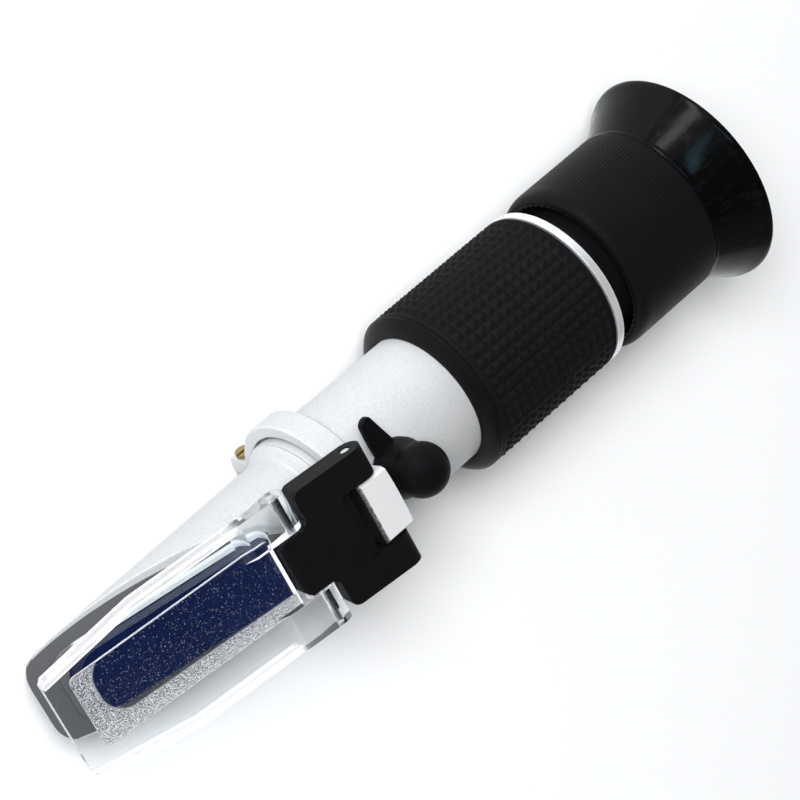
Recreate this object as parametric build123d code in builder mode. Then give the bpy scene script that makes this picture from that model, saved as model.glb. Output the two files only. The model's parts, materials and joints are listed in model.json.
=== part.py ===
# Handheld brix refractometer, rebuilt as separate pieces.
# Millimetres. +X runs along the optical axis towards the eyepiece, +Z is the prism side,
# and the origin is on the optical axis in the middle of the bare barrel.
import os
from math import asin, cos, degrees, radians, sin, tan

from build123d import *

os.makedirs("parts", exist_ok=True)

# Clearances
running = 0.05          # shaft in a bore that turns on it
slip = 0.05             # pieces of one body that plug into each other
side_gap = 0.2          # flat faces that pass each other
moving_gap = 0.3        # other faces on different moving pieces

# Barrel and the bare stretch that a clamp takes
barrel_r = 12.6
barrel_bore_r = 10.9
barrel_front_x = -13.0
grip_front_x = 14.0
grip_rear_x = 44.4
barrel_rear_x = grip_rear_x
collar_l = 2.1
bare_rear_x = grip_front_x - collar_l

# Hinge ring round the barrel's front end
ring_r = 15.2
ring_front_x = -17.4
ring_rear_x = -12.45
ring_bore_r = barrel_r + slip
ring_mouth_r = 13.0
ring_mouth_depth = 1.6
ring_edge = 0.4

# Front housing: a slim tube cut off aslant for the prism
housing_front_x = -74.6
housing_front_r = 10.3
housing_rear_r = 10.8
shoulder_x = -19.2
shoulder_l = 1.3
cut_end_x = -25.3
shoulder_r = 12.5
spigot_r = barrel_bore_r - slip
spigot_rear_x = -10.4
light_bore_r = 8.0
cut_slope = 19.6        # degrees, the prism face and the housing's cut
prism_stand = 4.0       # prism face above the cut
nose_round = 2.6

# Hinge line on top of the ring, and the closed and shown angle of the plate
hinge_x = -17.35
hinge_z = 19.15
pad_below_hinge = 1.2   # the pad's face passes this far under the hinge line
shown_slope = 12.0      # degrees, the plate stands ajar in the photograph
hinge_pin_r = 0.9

# Hinge block on the ring
block_half_w = 5.7
block_front_x = -19.6
block_rear_x = -13.9
block_top_z = 21.5
block_bulge = 0.4
block_foot_w = 1.4
block_foot_z = 13.3
block_foot_top_z = 14.8
block_foot_r = 1.7

# Clamp lug and its screw, under the ring and a little to its left
lug_angle = -75.0       # degrees, from +Y towards +Z
lug_inner_r = 13.4
lug_outer_r = 18.5
lug_front_x = ring_front_x
lug_rear_x = -13.2
lug_half_w = 3.0
lug_split = 0.7
clamp_screw_r = 0.9
clamp_screw_out_r = 17.0
clamp_head_r = 1.6
clamp_head_t = 1.5

# Hinge arm
arm_half_w = 11.4
arm_half_t = 2.65
arm_shoulder = 12.1     # from the hinge line forwards to the arm's two shoulders
arm_wall = 3.5          # from the hinge line to the wall in front of the block
tongue_half_w = 5.2
tongue_low = -1.0        # underside of the tongue, clear of the closed prism
tongue_root = 1.0
tongue_tip = 1.1
pocket_l = 1.5
pocket_depth = 0.9
tongue_reach = 18.2
plate_pin_in = 3.3      # from the tongue's tip to the plate's pin
plate_pin_reach = tongue_reach - plate_pin_in
plate_pin_up = 0.3
plate_pin_r = 0.7
plate_pin_half = 11.9

# Daylight plate
plate_front = 62.5      # from the hinge line to the plate's front edge
plate_kink = 43.2
plate_half_w = 12.4
plate_front_half_w = 9.7
plate_under = -0.7      # local height of the plate's underside
plate_t = 1.8
plate_rear = 18.9
rail_t = 1.25
rail_top = 2.35
ear_r = 2.3
ear_inner = 5.65
pad_l = 39.6
pad_w = 13.3
pad_middle = 38.4

# Prism
prism_rear_x = -33.4
prism_front_x = -69.2
prism_half_w = 5.5
prism_floor_z = -6.5
prism_front_round = 4.3
prism_floor_start = 9.0
prism_nose = 5.75

# Sealing bead round the prism
bead_w = 1.3
bead_rear_w = 2.0
bead_t = 1.1
bead_round = 3.4

# Rubber grip, its front collar and the bright trim ring
grip_r = 16.15
grip_bore_r = barrel_r + slip
grip_margin = 1.35      # plain band before the first ring of pyramids
grip_rows = 14
grip_around = 48
pyramid_r = 16.1
pyramid_depth = 0.62
collar_r = 16.0
collar_lead = 0.3
trim_w = 1.6
trim_rear_x = grip_rear_x + trim_w
trim_r = 16.0

# Eyepiece neck, focus ring and eyecup
neck_r = 13.0
neck_bore_r = 11.3
neck_l = 16.4
neck_rear_x = trim_rear_x + neck_l
neck_step_l = 2.35
neck_step_x = trim_rear_x + neck_step_l
neck_step_r = 13.5
neck_spigot_r = barrel_bore_r - slip
neck_spigot_l = 11.4
neck_spigot_front_x = grip_rear_x - neck_spigot_l
reticle_step = 3.5
reticle_r = 9.3
reticle_seat_r = reticle_r + slip
neck_shown_l = 4.2
nose_l = 2.6
focus_l = 21.0
nose_x = trim_rear_x + neck_shown_l
focus_front_x = nose_x + nose_l
focus_rear_x = nose_x + focus_l
focus_r = 16.4
focus_bore_r = neck_r + running
focus_web_in = 15.6
focus_web_x = nose_x + focus_web_in
focus_web_t = 2.6
rear_seat_r = 13.4
mouth_r = 14.5
o_ring_in = 7.8
o_ring_x = nose_x + o_ring_in
o_ring_t = 1.3
groove_half = 0.75
groove_r = neck_r + 0.2 + o_ring_t
eye_hole_r = 8.4
cup_l = 10.4
eyecup_rear_x = focus_rear_x + cup_l
eyecup_rim_r = 21.05
cup_waist_x = 3.8       # the flare's points, counted from the focus ring's rear face
cup_waist_r = 17.35
cup_flare_x = 7.2
cup_flare_r = 19.35
cup_lip_x = 1.35        # the lip's points, counted forwards from the rim
cup_lip_drop = 1.3
funnel_high_x = 3.2
funnel_high_r = 16.6
funnel_low_x = 6.6
funnel_low_r = 12.2
funnel_foot_x = 2.6
funnel_foot_r = 9.4

# Lens tube in the eyepiece
lens_tube_r = 10.95
lens_tube_bore_r = 9.4
lens_tube_in = 0.8
lens_tube_front_x = nose_x + lens_tube_in
lens_seat_w = 1.4
lens_seat_t = 1.2
lens_r = lens_tube_bore_r - slip
field_lens_in = 1.25
field_lens_x = lens_tube_front_x + field_lens_in
eye_lens_before_web = 0.6
eye_lens_x = focus_web_x - eye_lens_before_web
eye_ring_back = 3.1     # rear face of the retaining ring, behind the eye lens's seat

# Calibration screw, its boss and its rubber cap
cal_x = -6.9
boss_r = 3.1
boss_top_z = 17.6
boss_hole_r = 2.0
boss_low_z = 9.9
boss_flange_z = 13.2
boss_flange_r = 4.4
screw_low_z = 10.2
screw_below_top = 0.6
cap_low_z = 13.3
spindle_r = 0.9
spindle_low_z = 6.9
cap_ball_r = 4.75
cap_ball_z = 20.05
cap_waist_r = 4.8
cap_waist_z = 16.9
cap_skirt_r = 5.25
tab_turn = 102.0        # degrees, the way the pull tab points, from +X
tab_reach = 11.8
tab_t = 1.55
tab_root_w = 2.2
tab_tip_w = 1.1

# Objective lens cell inside the barrel
cell_x = cal_x
cell_t = 5.0
cell_half = 6.6
objective_r = 5.2
objective_front = 1.8
objective_rim = 0.6
objective_bulge = 1.35
guide_tail = 5.4
guide_slot_h = 18.4
cell_top_z = 8.7
cell_low_z = -7.25
leaf_z = -8.3
leaf_front_x = -8.2
leaf_rear_x = 11.0

closed_plane = Plane(
    origin=(hinge_x, 0, hinge_z),
    x_dir=(cos(radians(cut_slope)), 0, sin(radians(cut_slope))),
    z_dir=(-sin(radians(cut_slope)), 0, cos(radians(cut_slope))),
)
shown_plane = Plane(
    origin=(hinge_x, 0, hinge_z),
    x_dir=(cos(radians(shown_slope)), 0, sin(radians(shown_slope))),
    z_dir=(-sin(radians(shown_slope)), 0, cos(radians(shown_slope))),
)


def face_z(x, below_hinge):
    # Height at x of a plane that is parallel to the cut and this far under the hinge line.
    return hinge_z - below_hinge / cos(radians(cut_slope)) + (x - hinge_x) * tan(radians(cut_slope))


def cut_z(x):
    return face_z(x, pad_below_hinge + prism_stand)


def prism_z(x):
    return face_z(x, pad_below_hinge)


def along_cut(x):
    # Distance of x along the slanted cut, from the foot of the hinge line.
    foot = (pad_below_hinge + prism_stand) * sin(radians(cut_slope))
    return (x - hinge_x - foot) / cos(radians(cut_slope))


def dome_r(half_height, bulge):
    # Radius of a lens face that bulges this far over this half height.
    return (half_height**2 + bulge**2) / (2 * bulge)


# Front housing
with BuildPart() as front_housing:
    with BuildSketch(Plane.XZ):
        with BuildLine():
            nose = Line((housing_front_x, 0), (housing_front_x, housing_front_r - nose_round))
            tip = RadiusArc(nose @ 1, (housing_front_x + nose_round, housing_front_r), nose_round)
            cone = Line(tip @ 1, (shoulder_x - shoulder_l, housing_rear_r))
            Polyline(
                cone @ 1,
                (shoulder_x, shoulder_r - 0.3),
                (shoulder_x + 0.3, shoulder_r),
                (barrel_front_x, shoulder_r),
                (barrel_front_x, spigot_r),
                (spigot_rear_x, spigot_r),
                (spigot_rear_x, 0),
                (housing_front_x, 0),
            )
        make_face()
    revolve(axis=Axis.X)
    # everything above the slanted cut goes
    with BuildSketch(Plane.XZ):
        with BuildLine():
            Polyline(
                (housing_front_x - 2, cut_z(housing_front_x - 2)),
                (cut_end_x, cut_z(cut_end_x)),
                (cut_end_x, 20),
                (housing_front_x - 2, 20),
                close=True,
            )
        make_face()
    extrude(amount=16, both=True, mode=Mode.SUBTRACT)
    # pocket that takes the prism
    with BuildSketch(Plane.XZ):
        with BuildLine():
            Polyline(
                (prism_front_x - slip, 12),
                (prism_front_x - slip, prism_z(prism_front_x) - prism_nose - 2 * slip),
                (prism_front_x + prism_floor_start, prism_floor_z - 2 * slip),
                (prism_rear_x + slip, prism_floor_z - 2 * slip),
                (prism_rear_x + slip, 14),
                close=True,
            )
        make_face()
    extrude(amount=prism_half_w + slip, both=True, mode=Mode.SUBTRACT)
    # light path from the prism into the barrel
    with BuildSketch(Plane.YZ.offset(prism_rear_x)):
        Circle(light_bore_r - 1.4)
    extrude(amount=shoulder_x - 2 - prism_rear_x, mode=Mode.SUBTRACT)
    with BuildSketch(Plane.YZ.offset(shoulder_x - 2)):
        Circle(light_bore_r + 1.2)
    extrude(amount=spigot_rear_x - shoulder_x + 3, mode=Mode.SUBTRACT)

# Main prism, with the front of its face rounded in plan
with BuildPart() as main_prism:
    with BuildSketch(Plane.XZ):
        with BuildLine():
            Polyline(
                (prism_front_x, prism_z(prism_front_x)),
                (prism_front_x, prism_z(prism_front_x) - prism_nose),
                (prism_front_x + prism_floor_start, prism_floor_z),
                (prism_rear_x, prism_floor_z),
                (prism_rear_x, prism_z(prism_rear_x)),
                close=True,
            )
        make_face()
    extrude(amount=prism_half_w, both=True)
    upright = main_prism.edges().filter_by(Axis.Z)
    fillet(upright.group_by(Axis.X)[0], prism_front_round)
    fillet(main_prism.edges().filter_by(Axis.Z).group_by(Axis.X)[-1], 0.8)

# Sealing bead that frames the prism on the slanted cut
bead_plane = closed_plane.offset(-pad_below_hinge - prism_stand)
with BuildPart() as prism_seal:
    bead_front = along_cut(prism_front_x) - bead_w
    bead_rear = along_cut(prism_rear_x) + bead_rear_w
    with BuildSketch(bead_plane):
        with Locations(((bead_front + bead_rear) / 2, 0)):
            RectangleRounded(bead_rear - bead_front, 2 * (prism_half_w + bead_w), bead_round)
    extrude(amount=bead_t)
    chamfer(prism_seal.faces().sort_by(Axis.Z)[-1].edges(), 0.4)
    with BuildSketch(Plane.XY.offset(-12)) as prism_plan:
        with BuildLine():
            back = Line(
                (prism_rear_x + slip, -prism_half_w - slip),
                (prism_rear_x + slip, prism_half_w + slip),
            )
            left = Line(back @ 1, (prism_front_x + prism_front_round, prism_half_w + slip))
            left_arc = RadiusArc(
                left @ 1,
                (prism_front_x - slip, prism_half_w - prism_front_round),
                -prism_front_round - slip,
            )
            front = Line(left_arc @ 1, (prism_front_x - slip, prism_front_round - prism_half_w))
            right_arc = RadiusArc(
                front @ 1,
                (prism_front_x + prism_front_round, -prism_half_w - slip),
                -prism_front_round - slip,
            )
            Line(right_arc @ 1, back @ 0)
        make_face()
    extrude(amount=40, mode=Mode.SUBTRACT)

# Hinge ring with its block, and a split lug that clamps it on the housing
lug_mid_r = (lug_inner_r + lug_outer_r) / 2
lug_t = lug_outer_r - lug_inner_r
lug_plane = Plane(
    origin=(
        (lug_front_x + lug_rear_x) / 2,
        lug_mid_r * cos(radians(lug_angle)),
        lug_mid_r * sin(radians(lug_angle)),
    ),
    x_dir=(1, 0, 0),
    z_dir=(0, -sin(radians(lug_angle)), cos(radians(lug_angle))),
)
with BuildPart() as hinge_ring:
    with BuildSketch(Plane.XZ):
        with BuildLine():
            Polyline(
                (ring_front_x, ring_mouth_r),
                (ring_front_x, ring_r - ring_edge),
                (ring_front_x + ring_edge, ring_r),
                (ring_rear_x - ring_edge, ring_r),
                (ring_rear_x, ring_r - ring_edge),
                (ring_rear_x, ring_bore_r),
                (ring_front_x + ring_mouth_depth, ring_bore_r),
                (ring_front_x + ring_mouth_depth, ring_mouth_r),
                close=True,
            )
        make_face()
    revolve(axis=Axis.X)
    # block with a concave foot on each side
    with BuildSketch(Plane.YZ.offset(block_front_x)):
        with BuildLine():
            top = Line((block_half_w - 0.5, block_top_z), (0.5 - block_half_w, block_top_z))
            side = Polyline(
                top @ 1,
                (-block_half_w, block_top_z - 0.8),
                (-block_half_w, block_foot_top_z),
            )
            foot_end = (-block_half_w - block_foot_w, block_foot_z)
            foot = RadiusArc(side @ 1, foot_end, -block_foot_r)
            under = Line(foot @ 1, (block_half_w + block_foot_w, block_foot_z))
            foot_right = RadiusArc(under @ 1, (block_half_w, block_foot_top_z), -block_foot_r)
            Polyline(foot_right @ 1, (block_half_w, block_top_z - 0.8), top @ 0)
        make_face()
    extrude(amount=block_rear_x + block_bulge - block_front_x)
    # the block's rear face bulges in plan
    with BuildSketch(Plane.XY.offset(block_foot_top_z - 0.6)):
        with BuildLine():
            rear_face = ThreePointArc(
                (block_rear_x, -block_half_w - 2),
                (block_rear_x + block_bulge, 0),
                (block_rear_x, block_half_w + 2),
            )
            Polyline(
                rear_face @ 1,
                (block_rear_x + 2, block_half_w + 2),
                (block_rear_x + 2, -block_half_w - 2),
                rear_face @ 0,
            )
        make_face()
    extrude(amount=10, mode=Mode.SUBTRACT)
    # lug
    with BuildSketch(lug_plane):
        Rectangle(lug_rear_x - lug_front_x, lug_t)
    extrude(amount=lug_half_w, both=True)
    # the ring's own bore runs on through the block's foot
    with BuildSketch(Plane.YZ.offset(block_front_x - 4)):
        Circle(ring_mouth_r)
    extrude(amount=ring_front_x + ring_mouth_depth - block_front_x + 4, mode=Mode.SUBTRACT)
    # split through ring and lug
    with BuildSketch(lug_plane):
        Rectangle(4 * lug_t, lug_t + 2.1)
    extrude(amount=lug_split / 2, both=True, mode=Mode.SUBTRACT)
    # holes for the hinge pin and the clamp screw
    with BuildSketch(Plane.XZ):
        with Locations((hinge_x, hinge_z)):
            Circle(hinge_pin_r + 0.01)
    extrude(amount=20, both=True, mode=Mode.SUBTRACT)
    with BuildSketch(lug_plane.offset(-lug_half_w - 1)):
        with Locations((0, clamp_screw_out_r - lug_mid_r)):
            Circle(clamp_screw_r + 0.02)
    extrude(amount=2 * lug_half_w + 2, mode=Mode.SUBTRACT)

# Brass screw that pulls the split lug together
with BuildPart() as clamp_screw:
    with BuildSketch(lug_plane.offset(-lug_half_w + 0.4)):
        with Locations((0, clamp_screw_out_r - lug_mid_r)):
            Circle(clamp_screw_r)
    extrude(amount=2 * lug_half_w - 0.4)
    with BuildSketch(lug_plane.offset(lug_half_w)):
        with Locations((0, clamp_screw_out_r - lug_mid_r)):
            Circle(clamp_head_r)
    extrude(amount=clamp_head_t)
    with BuildSketch(lug_plane.offset(lug_half_w + clamp_head_t)):
        with Locations((0, clamp_screw_out_r - lug_mid_r)):
            Rectangle(3 * clamp_head_r, 0.5)
    extrude(amount=-0.7, mode=Mode.SUBTRACT)

# Steel pin of the hinge block
with BuildPart() as hinge_pin:
    with BuildSketch(Plane.XZ.offset(-arm_half_w + 0.1)):
        with Locations((hinge_x, hinge_z)):
            Circle(hinge_pin_r)
    extrude(amount=2 * arm_half_w - 0.2)
    chamfer(hinge_pin.faces().filter_by(Axis.Y).edges(), 0.15)

# Barrel tube, drilled for the calibration screw's boss
with BuildPart() as barrel:
    with BuildSketch(Plane.XZ):
        with BuildLine():
            Polyline(
                (barrel_front_x + slip, barrel_bore_r),
                (barrel_front_x + slip, barrel_r - 0.2),
                (barrel_front_x + slip + 0.2, barrel_r),
                (barrel_rear_x, barrel_r),
                (barrel_rear_x, barrel_bore_r),
                close=True,
            )
        make_face()
    revolve(axis=Axis.X)
    with BuildSketch(Plane.XY.offset(6)):
        with Locations((cal_x, 0)):
            Circle(boss_r + slip)
    extrude(amount=10, mode=Mode.SUBTRACT)

# Boss of the calibration screw, with a flange that saddles the barrel
with BuildPart() as screw_boss:
    with BuildSketch(Plane.XY.offset(boss_low_z + 0.5)):
        with Locations((cal_x, 0)):
            Circle(boss_flange_r)
    extrude(amount=boss_flange_z - boss_low_z - 0.5)
    with BuildSketch(Plane.YZ.offset(cal_x - boss_flange_r - 1)):
        Circle(barrel_r)
    extrude(amount=2 * boss_flange_r + 2, mode=Mode.SUBTRACT)
    with BuildSketch(Plane.XY.offset(boss_low_z)):
        with Locations((cal_x, 0)):
            Circle(boss_r)
    extrude(amount=boss_top_z - boss_low_z)
    with BuildSketch(Plane.XY.offset(boss_low_z - 1)):
        with Locations((cal_x, 0)):
            Circle(boss_hole_r)
    extrude(amount=boss_top_z - boss_low_z + 2, mode=Mode.SUBTRACT)
    chamfer(screw_boss.faces().sort_by(Axis.Z)[-1].edges().sort_by(SortBy.RADIUS)[-1], 0.3)

# Calibration screw: slotted head in the boss, thin spindle into the lens cell
with BuildPart() as calibration_screw:
    with BuildSketch(Plane.XY.offset(screw_low_z)):
        with Locations((cal_x, 0)):
            Circle(boss_hole_r - running)
    extrude(amount=boss_top_z - screw_low_z - screw_below_top)
    with BuildSketch(Plane.XY.offset(spindle_low_z)):
        with Locations((cal_x, 0)):
            Circle(spindle_r)
    extrude(amount=screw_low_z - spindle_low_z)
    with BuildSketch(Plane.XY.offset(boss_top_z - screw_below_top)):
        with Locations((cal_x, 0)):
            Rectangle(5, 0.6)
    extrude(amount=-1.2, mode=Mode.SUBTRACT)

# Rubber cap of the calibration screw, with its pull tab
with BuildPart() as calibration_cap:
    cap_plane = Plane(origin=(cal_x, 0, 0), x_dir=(1, 0, 0), z_dir=(0, -1, 0))
    with BuildSketch(cap_plane):
        with BuildLine():
            foot_line = Polyline(
                (0, cap_low_z),
                (cap_skirt_r - 0.3, cap_low_z),
                (cap_skirt_r, cap_low_z + 0.3),
            )
            skirt = Line(foot_line @ 1, (cap_skirt_r, cap_low_z + 1.7))
            waist = ThreePointArc(
                skirt @ 1,
                (cap_waist_r, cap_waist_z),
                (cap_ball_r * cos(radians(-22)), cap_ball_z + cap_ball_r * sin(radians(-22))),
            )
            ball = CenterArc((0, cap_ball_z), cap_ball_r, -22, 112)
            Line(ball @ 1, (0, cap_low_z))
        make_face()
    revolve(axis=Axis(origin=(cal_x, 0, 0), direction=(0, 0, 1)))
    tab_dir = (cos(radians(tab_turn)), sin(radians(tab_turn)), 0)
    with BuildSketch(Plane(origin=(cal_x, 0, cap_low_z + 0.3), x_dir=tab_dir)):
        with BuildLine():
            Polyline(
                (0, tab_root_w + 0.3),
                (cap_skirt_r, tab_root_w),
                (tab_reach - 0.8, tab_tip_w),
                (tab_reach, tab_tip_w - 0.6),
                (tab_reach, 0.3 - tab_tip_w),
                (tab_reach - 0.5, -tab_tip_w),
                (cap_skirt_r, 0.1 - tab_root_w),
                (0, -tab_root_w - 0.3),
                close=True,
            )
        make_face()
    extrude(amount=tab_t)
    with BuildSketch(Plane.XY.offset(cap_low_z - 1)):
        with Locations((cal_x, 0)):
            Circle(boss_r + running)
    extrude(amount=boss_top_z + 0.4 - cap_low_z + 1, mode=Mode.SUBTRACT)

# Lens guide: a plug in the barrel with a channel that the lens cell slides in
with BuildPart() as lens_guide:
    with BuildSketch(Plane.YZ.offset(cell_x - cell_t / 2 - 0.2)):
        Circle(spigot_r)
    extrude(amount=cell_t + guide_tail)
    with BuildSketch(Plane.YZ.offset(cell_x - cell_t / 2 - 1)):
        Rectangle(2 * (cell_half + side_gap), guide_slot_h)
    extrude(amount=cell_t + 1 + side_gap, mode=Mode.SUBTRACT)
    with BuildSketch(Plane.YZ.offset(cell_x)):
        Circle(objective_r + 0.5)
        with Locations((0, leaf_z + 0.25)):
            Rectangle(6.4, 1.3)
    extrude(amount=cell_t + guide_tail + 10, mode=Mode.SUBTRACT)
    with BuildSketch(Plane.XY.offset(5)):
        with Locations((cal_x, 0)):
            Circle(boss_r + 0.15)
    extrude(amount=8, mode=Mode.SUBTRACT)

# Lens cell that the calibration screw shifts
with BuildPart() as lens_cell:
    with BuildSketch(Plane.YZ.offset(cell_x - cell_t / 2)):
        Rectangle(2 * cell_half, 2 * cell_half)
        with Locations((0, (cell_half - 0.3 + cell_top_z) / 2)):
            Rectangle(7, cell_top_z - cell_half + 0.3)
        with Locations((0, (cell_low_z - cell_half + 0.3) / 2)):
            Rectangle(3, -cell_half - cell_low_z + 0.3)
        Circle(objective_r + slip, mode=Mode.SUBTRACT)
    extrude(amount=cell_t)
    with BuildSketch(Plane.XY.offset(6.3)):
        with Locations((cal_x, 0)):
            Circle(spindle_r + running)
    extrude(amount=5, mode=Mode.SUBTRACT)
    fillet(lens_cell.edges().filter_by(Axis.X).sort_by(Axis.Y)[-1:], 0.5)

# Objective lens, flat in front and domed behind
with BuildPart() as objective_lens:
    with BuildSketch(Plane.XZ):
        with BuildLine():
            flat = Polyline(
                (cell_x - objective_front, 0),
                (cell_x - objective_front, objective_r),
                (cell_x + objective_rim, objective_r),
            )
            bulge = dome_r(objective_r, objective_bulge)
            dome = CenterArc(
                (cell_x + objective_rim + objective_bulge - bulge, 0),
                bulge,
                degrees(asin(objective_r / bulge)),
                -degrees(asin(objective_r / bulge)),
            )
            Line(dome @ 1, flat @ 0)
        make_face()
    revolve(axis=Axis.X)

# Leaf spring that takes up the play of the calibration thread, with its post and screw
with BuildPart() as leaf_spring:
    with BuildSketch(Plane.XY.offset(leaf_z)):
        with Locations(((leaf_front_x + leaf_rear_x) / 2, 0)):
            RectangleRounded(leaf_rear_x - leaf_front_x, 5, 0.6)
        with Locations((leaf_rear_x - 2.2, 0)):
            Circle(0.85, mode=Mode.SUBTRACT)
    extrude(amount=0.5)
with BuildPart() as spring_post:
    with BuildSketch(Plane.YZ.offset(leaf_rear_x - 5)):
        with BuildLine():
            base = CenterArc((0, 0), spigot_r, 242, 56)
            Polyline(base @ 1, (4.4, leaf_z), (-4.4, leaf_z), base @ 0)
        make_face()
    extrude(amount=6)
    with BuildSketch(Plane.XY.offset(leaf_z)):
        with Locations((leaf_rear_x - 2.2, 0)):
            Circle(0.8)
    extrude(amount=-2, mode=Mode.SUBTRACT)
with BuildPart() as spring_screw:
    with BuildSketch(Plane.XY.offset(leaf_z + 0.5)):
        with Locations((leaf_rear_x - 2.2, 0)):
            Circle(1.5)
    extrude(amount=0.9)
    with BuildSketch(Plane.XY.offset(leaf_z - 1.7)):
        with Locations((leaf_rear_x - 2.2, 0)):
            Circle(0.78)
    extrude(amount=2.2)
    with BuildSketch(Plane.XY.offset(leaf_z + 1.4)):
        with Locations((leaf_rear_x - 2.2, 0)):
            Rectangle(4, 0.4)
    extrude(amount=-0.5, mode=Mode.SUBTRACT)

# Front collar of the grip, with a rounded nose
with BuildPart() as grip_collar:
    with BuildSketch(Plane.XZ):
        with BuildLine():
            lead = Line((bare_rear_x, grip_bore_r), (bare_rear_x, grip_bore_r + collar_lead))
            round_nose = ThreePointArc(
                lead @ 1,
                (bare_rear_x + 0.62, collar_r - 1.3),
                (grip_front_x - 0.3, collar_r),
            )
            Polyline(
                round_nose @ 1,
                (grip_front_x - 0.12, collar_r - 0.2),
                (grip_front_x, collar_r - 0.7),
                (grip_front_x, grip_bore_r),
                lead @ 0,
            )
        make_face()
    revolve(axis=Axis.X)

# Rubber grip sleeve, covered with rings of small pyramids. One row of them is cut from a
# sawtooth bar with sloping flanks, and repeated round the sleeve.
grid_front_x = grip_front_x + grip_margin
grid_rear_x = grip_rear_x - 1.05
grid_pitch = (grid_rear_x - grid_front_x) / grip_rows
half_sector = radians(180 / grip_around)
valley_r = pyramid_r - pyramid_depth
with BuildPart() as pyramid_row:
    with BuildSketch(Plane.XZ):
        with BuildLine():
            sawtooth = [(grid_front_x, valley_r - 1)]
            for row in range(grip_rows):
                sawtooth.append((grid_front_x + row * grid_pitch, valley_r * cos(half_sector)))
                sawtooth.append((grid_front_x + (row + 0.5) * grid_pitch, pyramid_r))
            sawtooth.append((grid_rear_x, valley_r * cos(half_sector)))
            sawtooth.append((grid_rear_x, valley_r - 1))
            Polyline(*sawtooth, close=True)
        make_face()
    extrude(amount=2, both=True)
    with BuildSketch(Plane.YZ.offset(grid_front_x)):
        with BuildLine():
            Polyline(
                (0, pyramid_r),
                (valley_r * sin(half_sector), valley_r * cos(half_sector)),
                ((valley_r - 0.5) * sin(half_sector), (valley_r - 0.5) * cos(half_sector)),
                ((0.5 - valley_r) * sin(half_sector), (valley_r - 0.5) * cos(half_sector)),
                (-valley_r * sin(half_sector), valley_r * cos(half_sector)),
                close=True,
            )
        make_face()
    extrude(amount=grid_rear_x - grid_front_x, mode=Mode.INTERSECT)
with BuildPart() as grip_sleeve:
    with BuildSketch(Plane.XZ):
        with BuildLine():
            Polyline(
                (grip_front_x, grip_bore_r),
                (grip_front_x, grip_r - 0.75),
                (grip_front_x + 0.4, pyramid_r - 0.25),
                (grid_front_x - 0.4, pyramid_r - 0.1),
                (grid_front_x, valley_r - 0.1),
                (grid_rear_x, valley_r - 0.1),
                (grid_rear_x + 0.4, pyramid_r - 0.1),
                (grip_rear_x - 0.3, grip_r - 0.4),
                (grip_rear_x, grip_r - 0.8),
                (grip_rear_x, grip_bore_r),
                close=True,
            )
        make_face()
    revolve(axis=Axis.X)
    add([pyramid_row.part.rotate(Axis.X, (k + 0.5) * 360 / grip_around) for k in range(grip_around)])

# Bright trim ring behind the grip
with BuildPart() as trim_ring:
    with BuildSketch(Plane.XZ):
        with BuildLine():
            Polyline(
                (grip_rear_x, neck_spigot_r + slip),
                (grip_rear_x, trim_r - 0.25),
                (grip_rear_x + 0.25, trim_r),
                (trim_rear_x - 0.3, trim_r),
                (trim_rear_x, trim_r - 0.3),
                (trim_rear_x, neck_spigot_r + slip),
                close=True,
            )
        make_face()
    revolve(axis=Axis.X)

# Eyepiece neck, plugged into the barrel's rear, with the seat of the reticle
with BuildPart() as eyepiece_neck:
    with BuildSketch(Plane.XZ):
        with BuildLine():
            Polyline(
                (neck_spigot_front_x, reticle_seat_r),
                (neck_spigot_front_x, neck_spigot_r),
                (trim_rear_x, neck_spigot_r),
                (trim_rear_x, neck_step_r),
                (neck_step_x - 0.3, neck_step_r),
                (neck_step_x, neck_step_r - 0.3),
                (neck_step_x, neck_r),
                (neck_rear_x - 0.4, neck_r),
                (neck_rear_x, neck_r - 0.4),
                (neck_rear_x, neck_bore_r),
                (trim_rear_x + 1.5, neck_bore_r),
                (trim_rear_x + 1.5, reticle_r - 1.4),
                (neck_spigot_front_x + reticle_step, reticle_r - 1.4),
                (neck_spigot_front_x + reticle_step, reticle_seat_r),
                close=True,
            )
        make_face()
    revolve(axis=Axis.X)

# Reticle, a glass disc that carries the scale, and its threaded retaining ring
with BuildPart() as reticle:
    with BuildSketch(Plane.YZ.offset(neck_spigot_front_x + 2.0)):
        Circle(reticle_r)
    extrude(amount=1.45)
with BuildPart() as reticle_ring:
    with BuildSketch(Plane.YZ.offset(neck_spigot_front_x + 0.3)):
        Circle(reticle_r)
        Circle(reticle_r - 1.5, mode=Mode.SUBTRACT)
    extrude(amount=1.65)
    with BuildSketch(Plane.YZ.offset(neck_spigot_front_x + 0.3)):
        Rectangle(2 * reticle_r + 1, 1.0)
    extrude(amount=0.7, mode=Mode.SUBTRACT)

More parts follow.
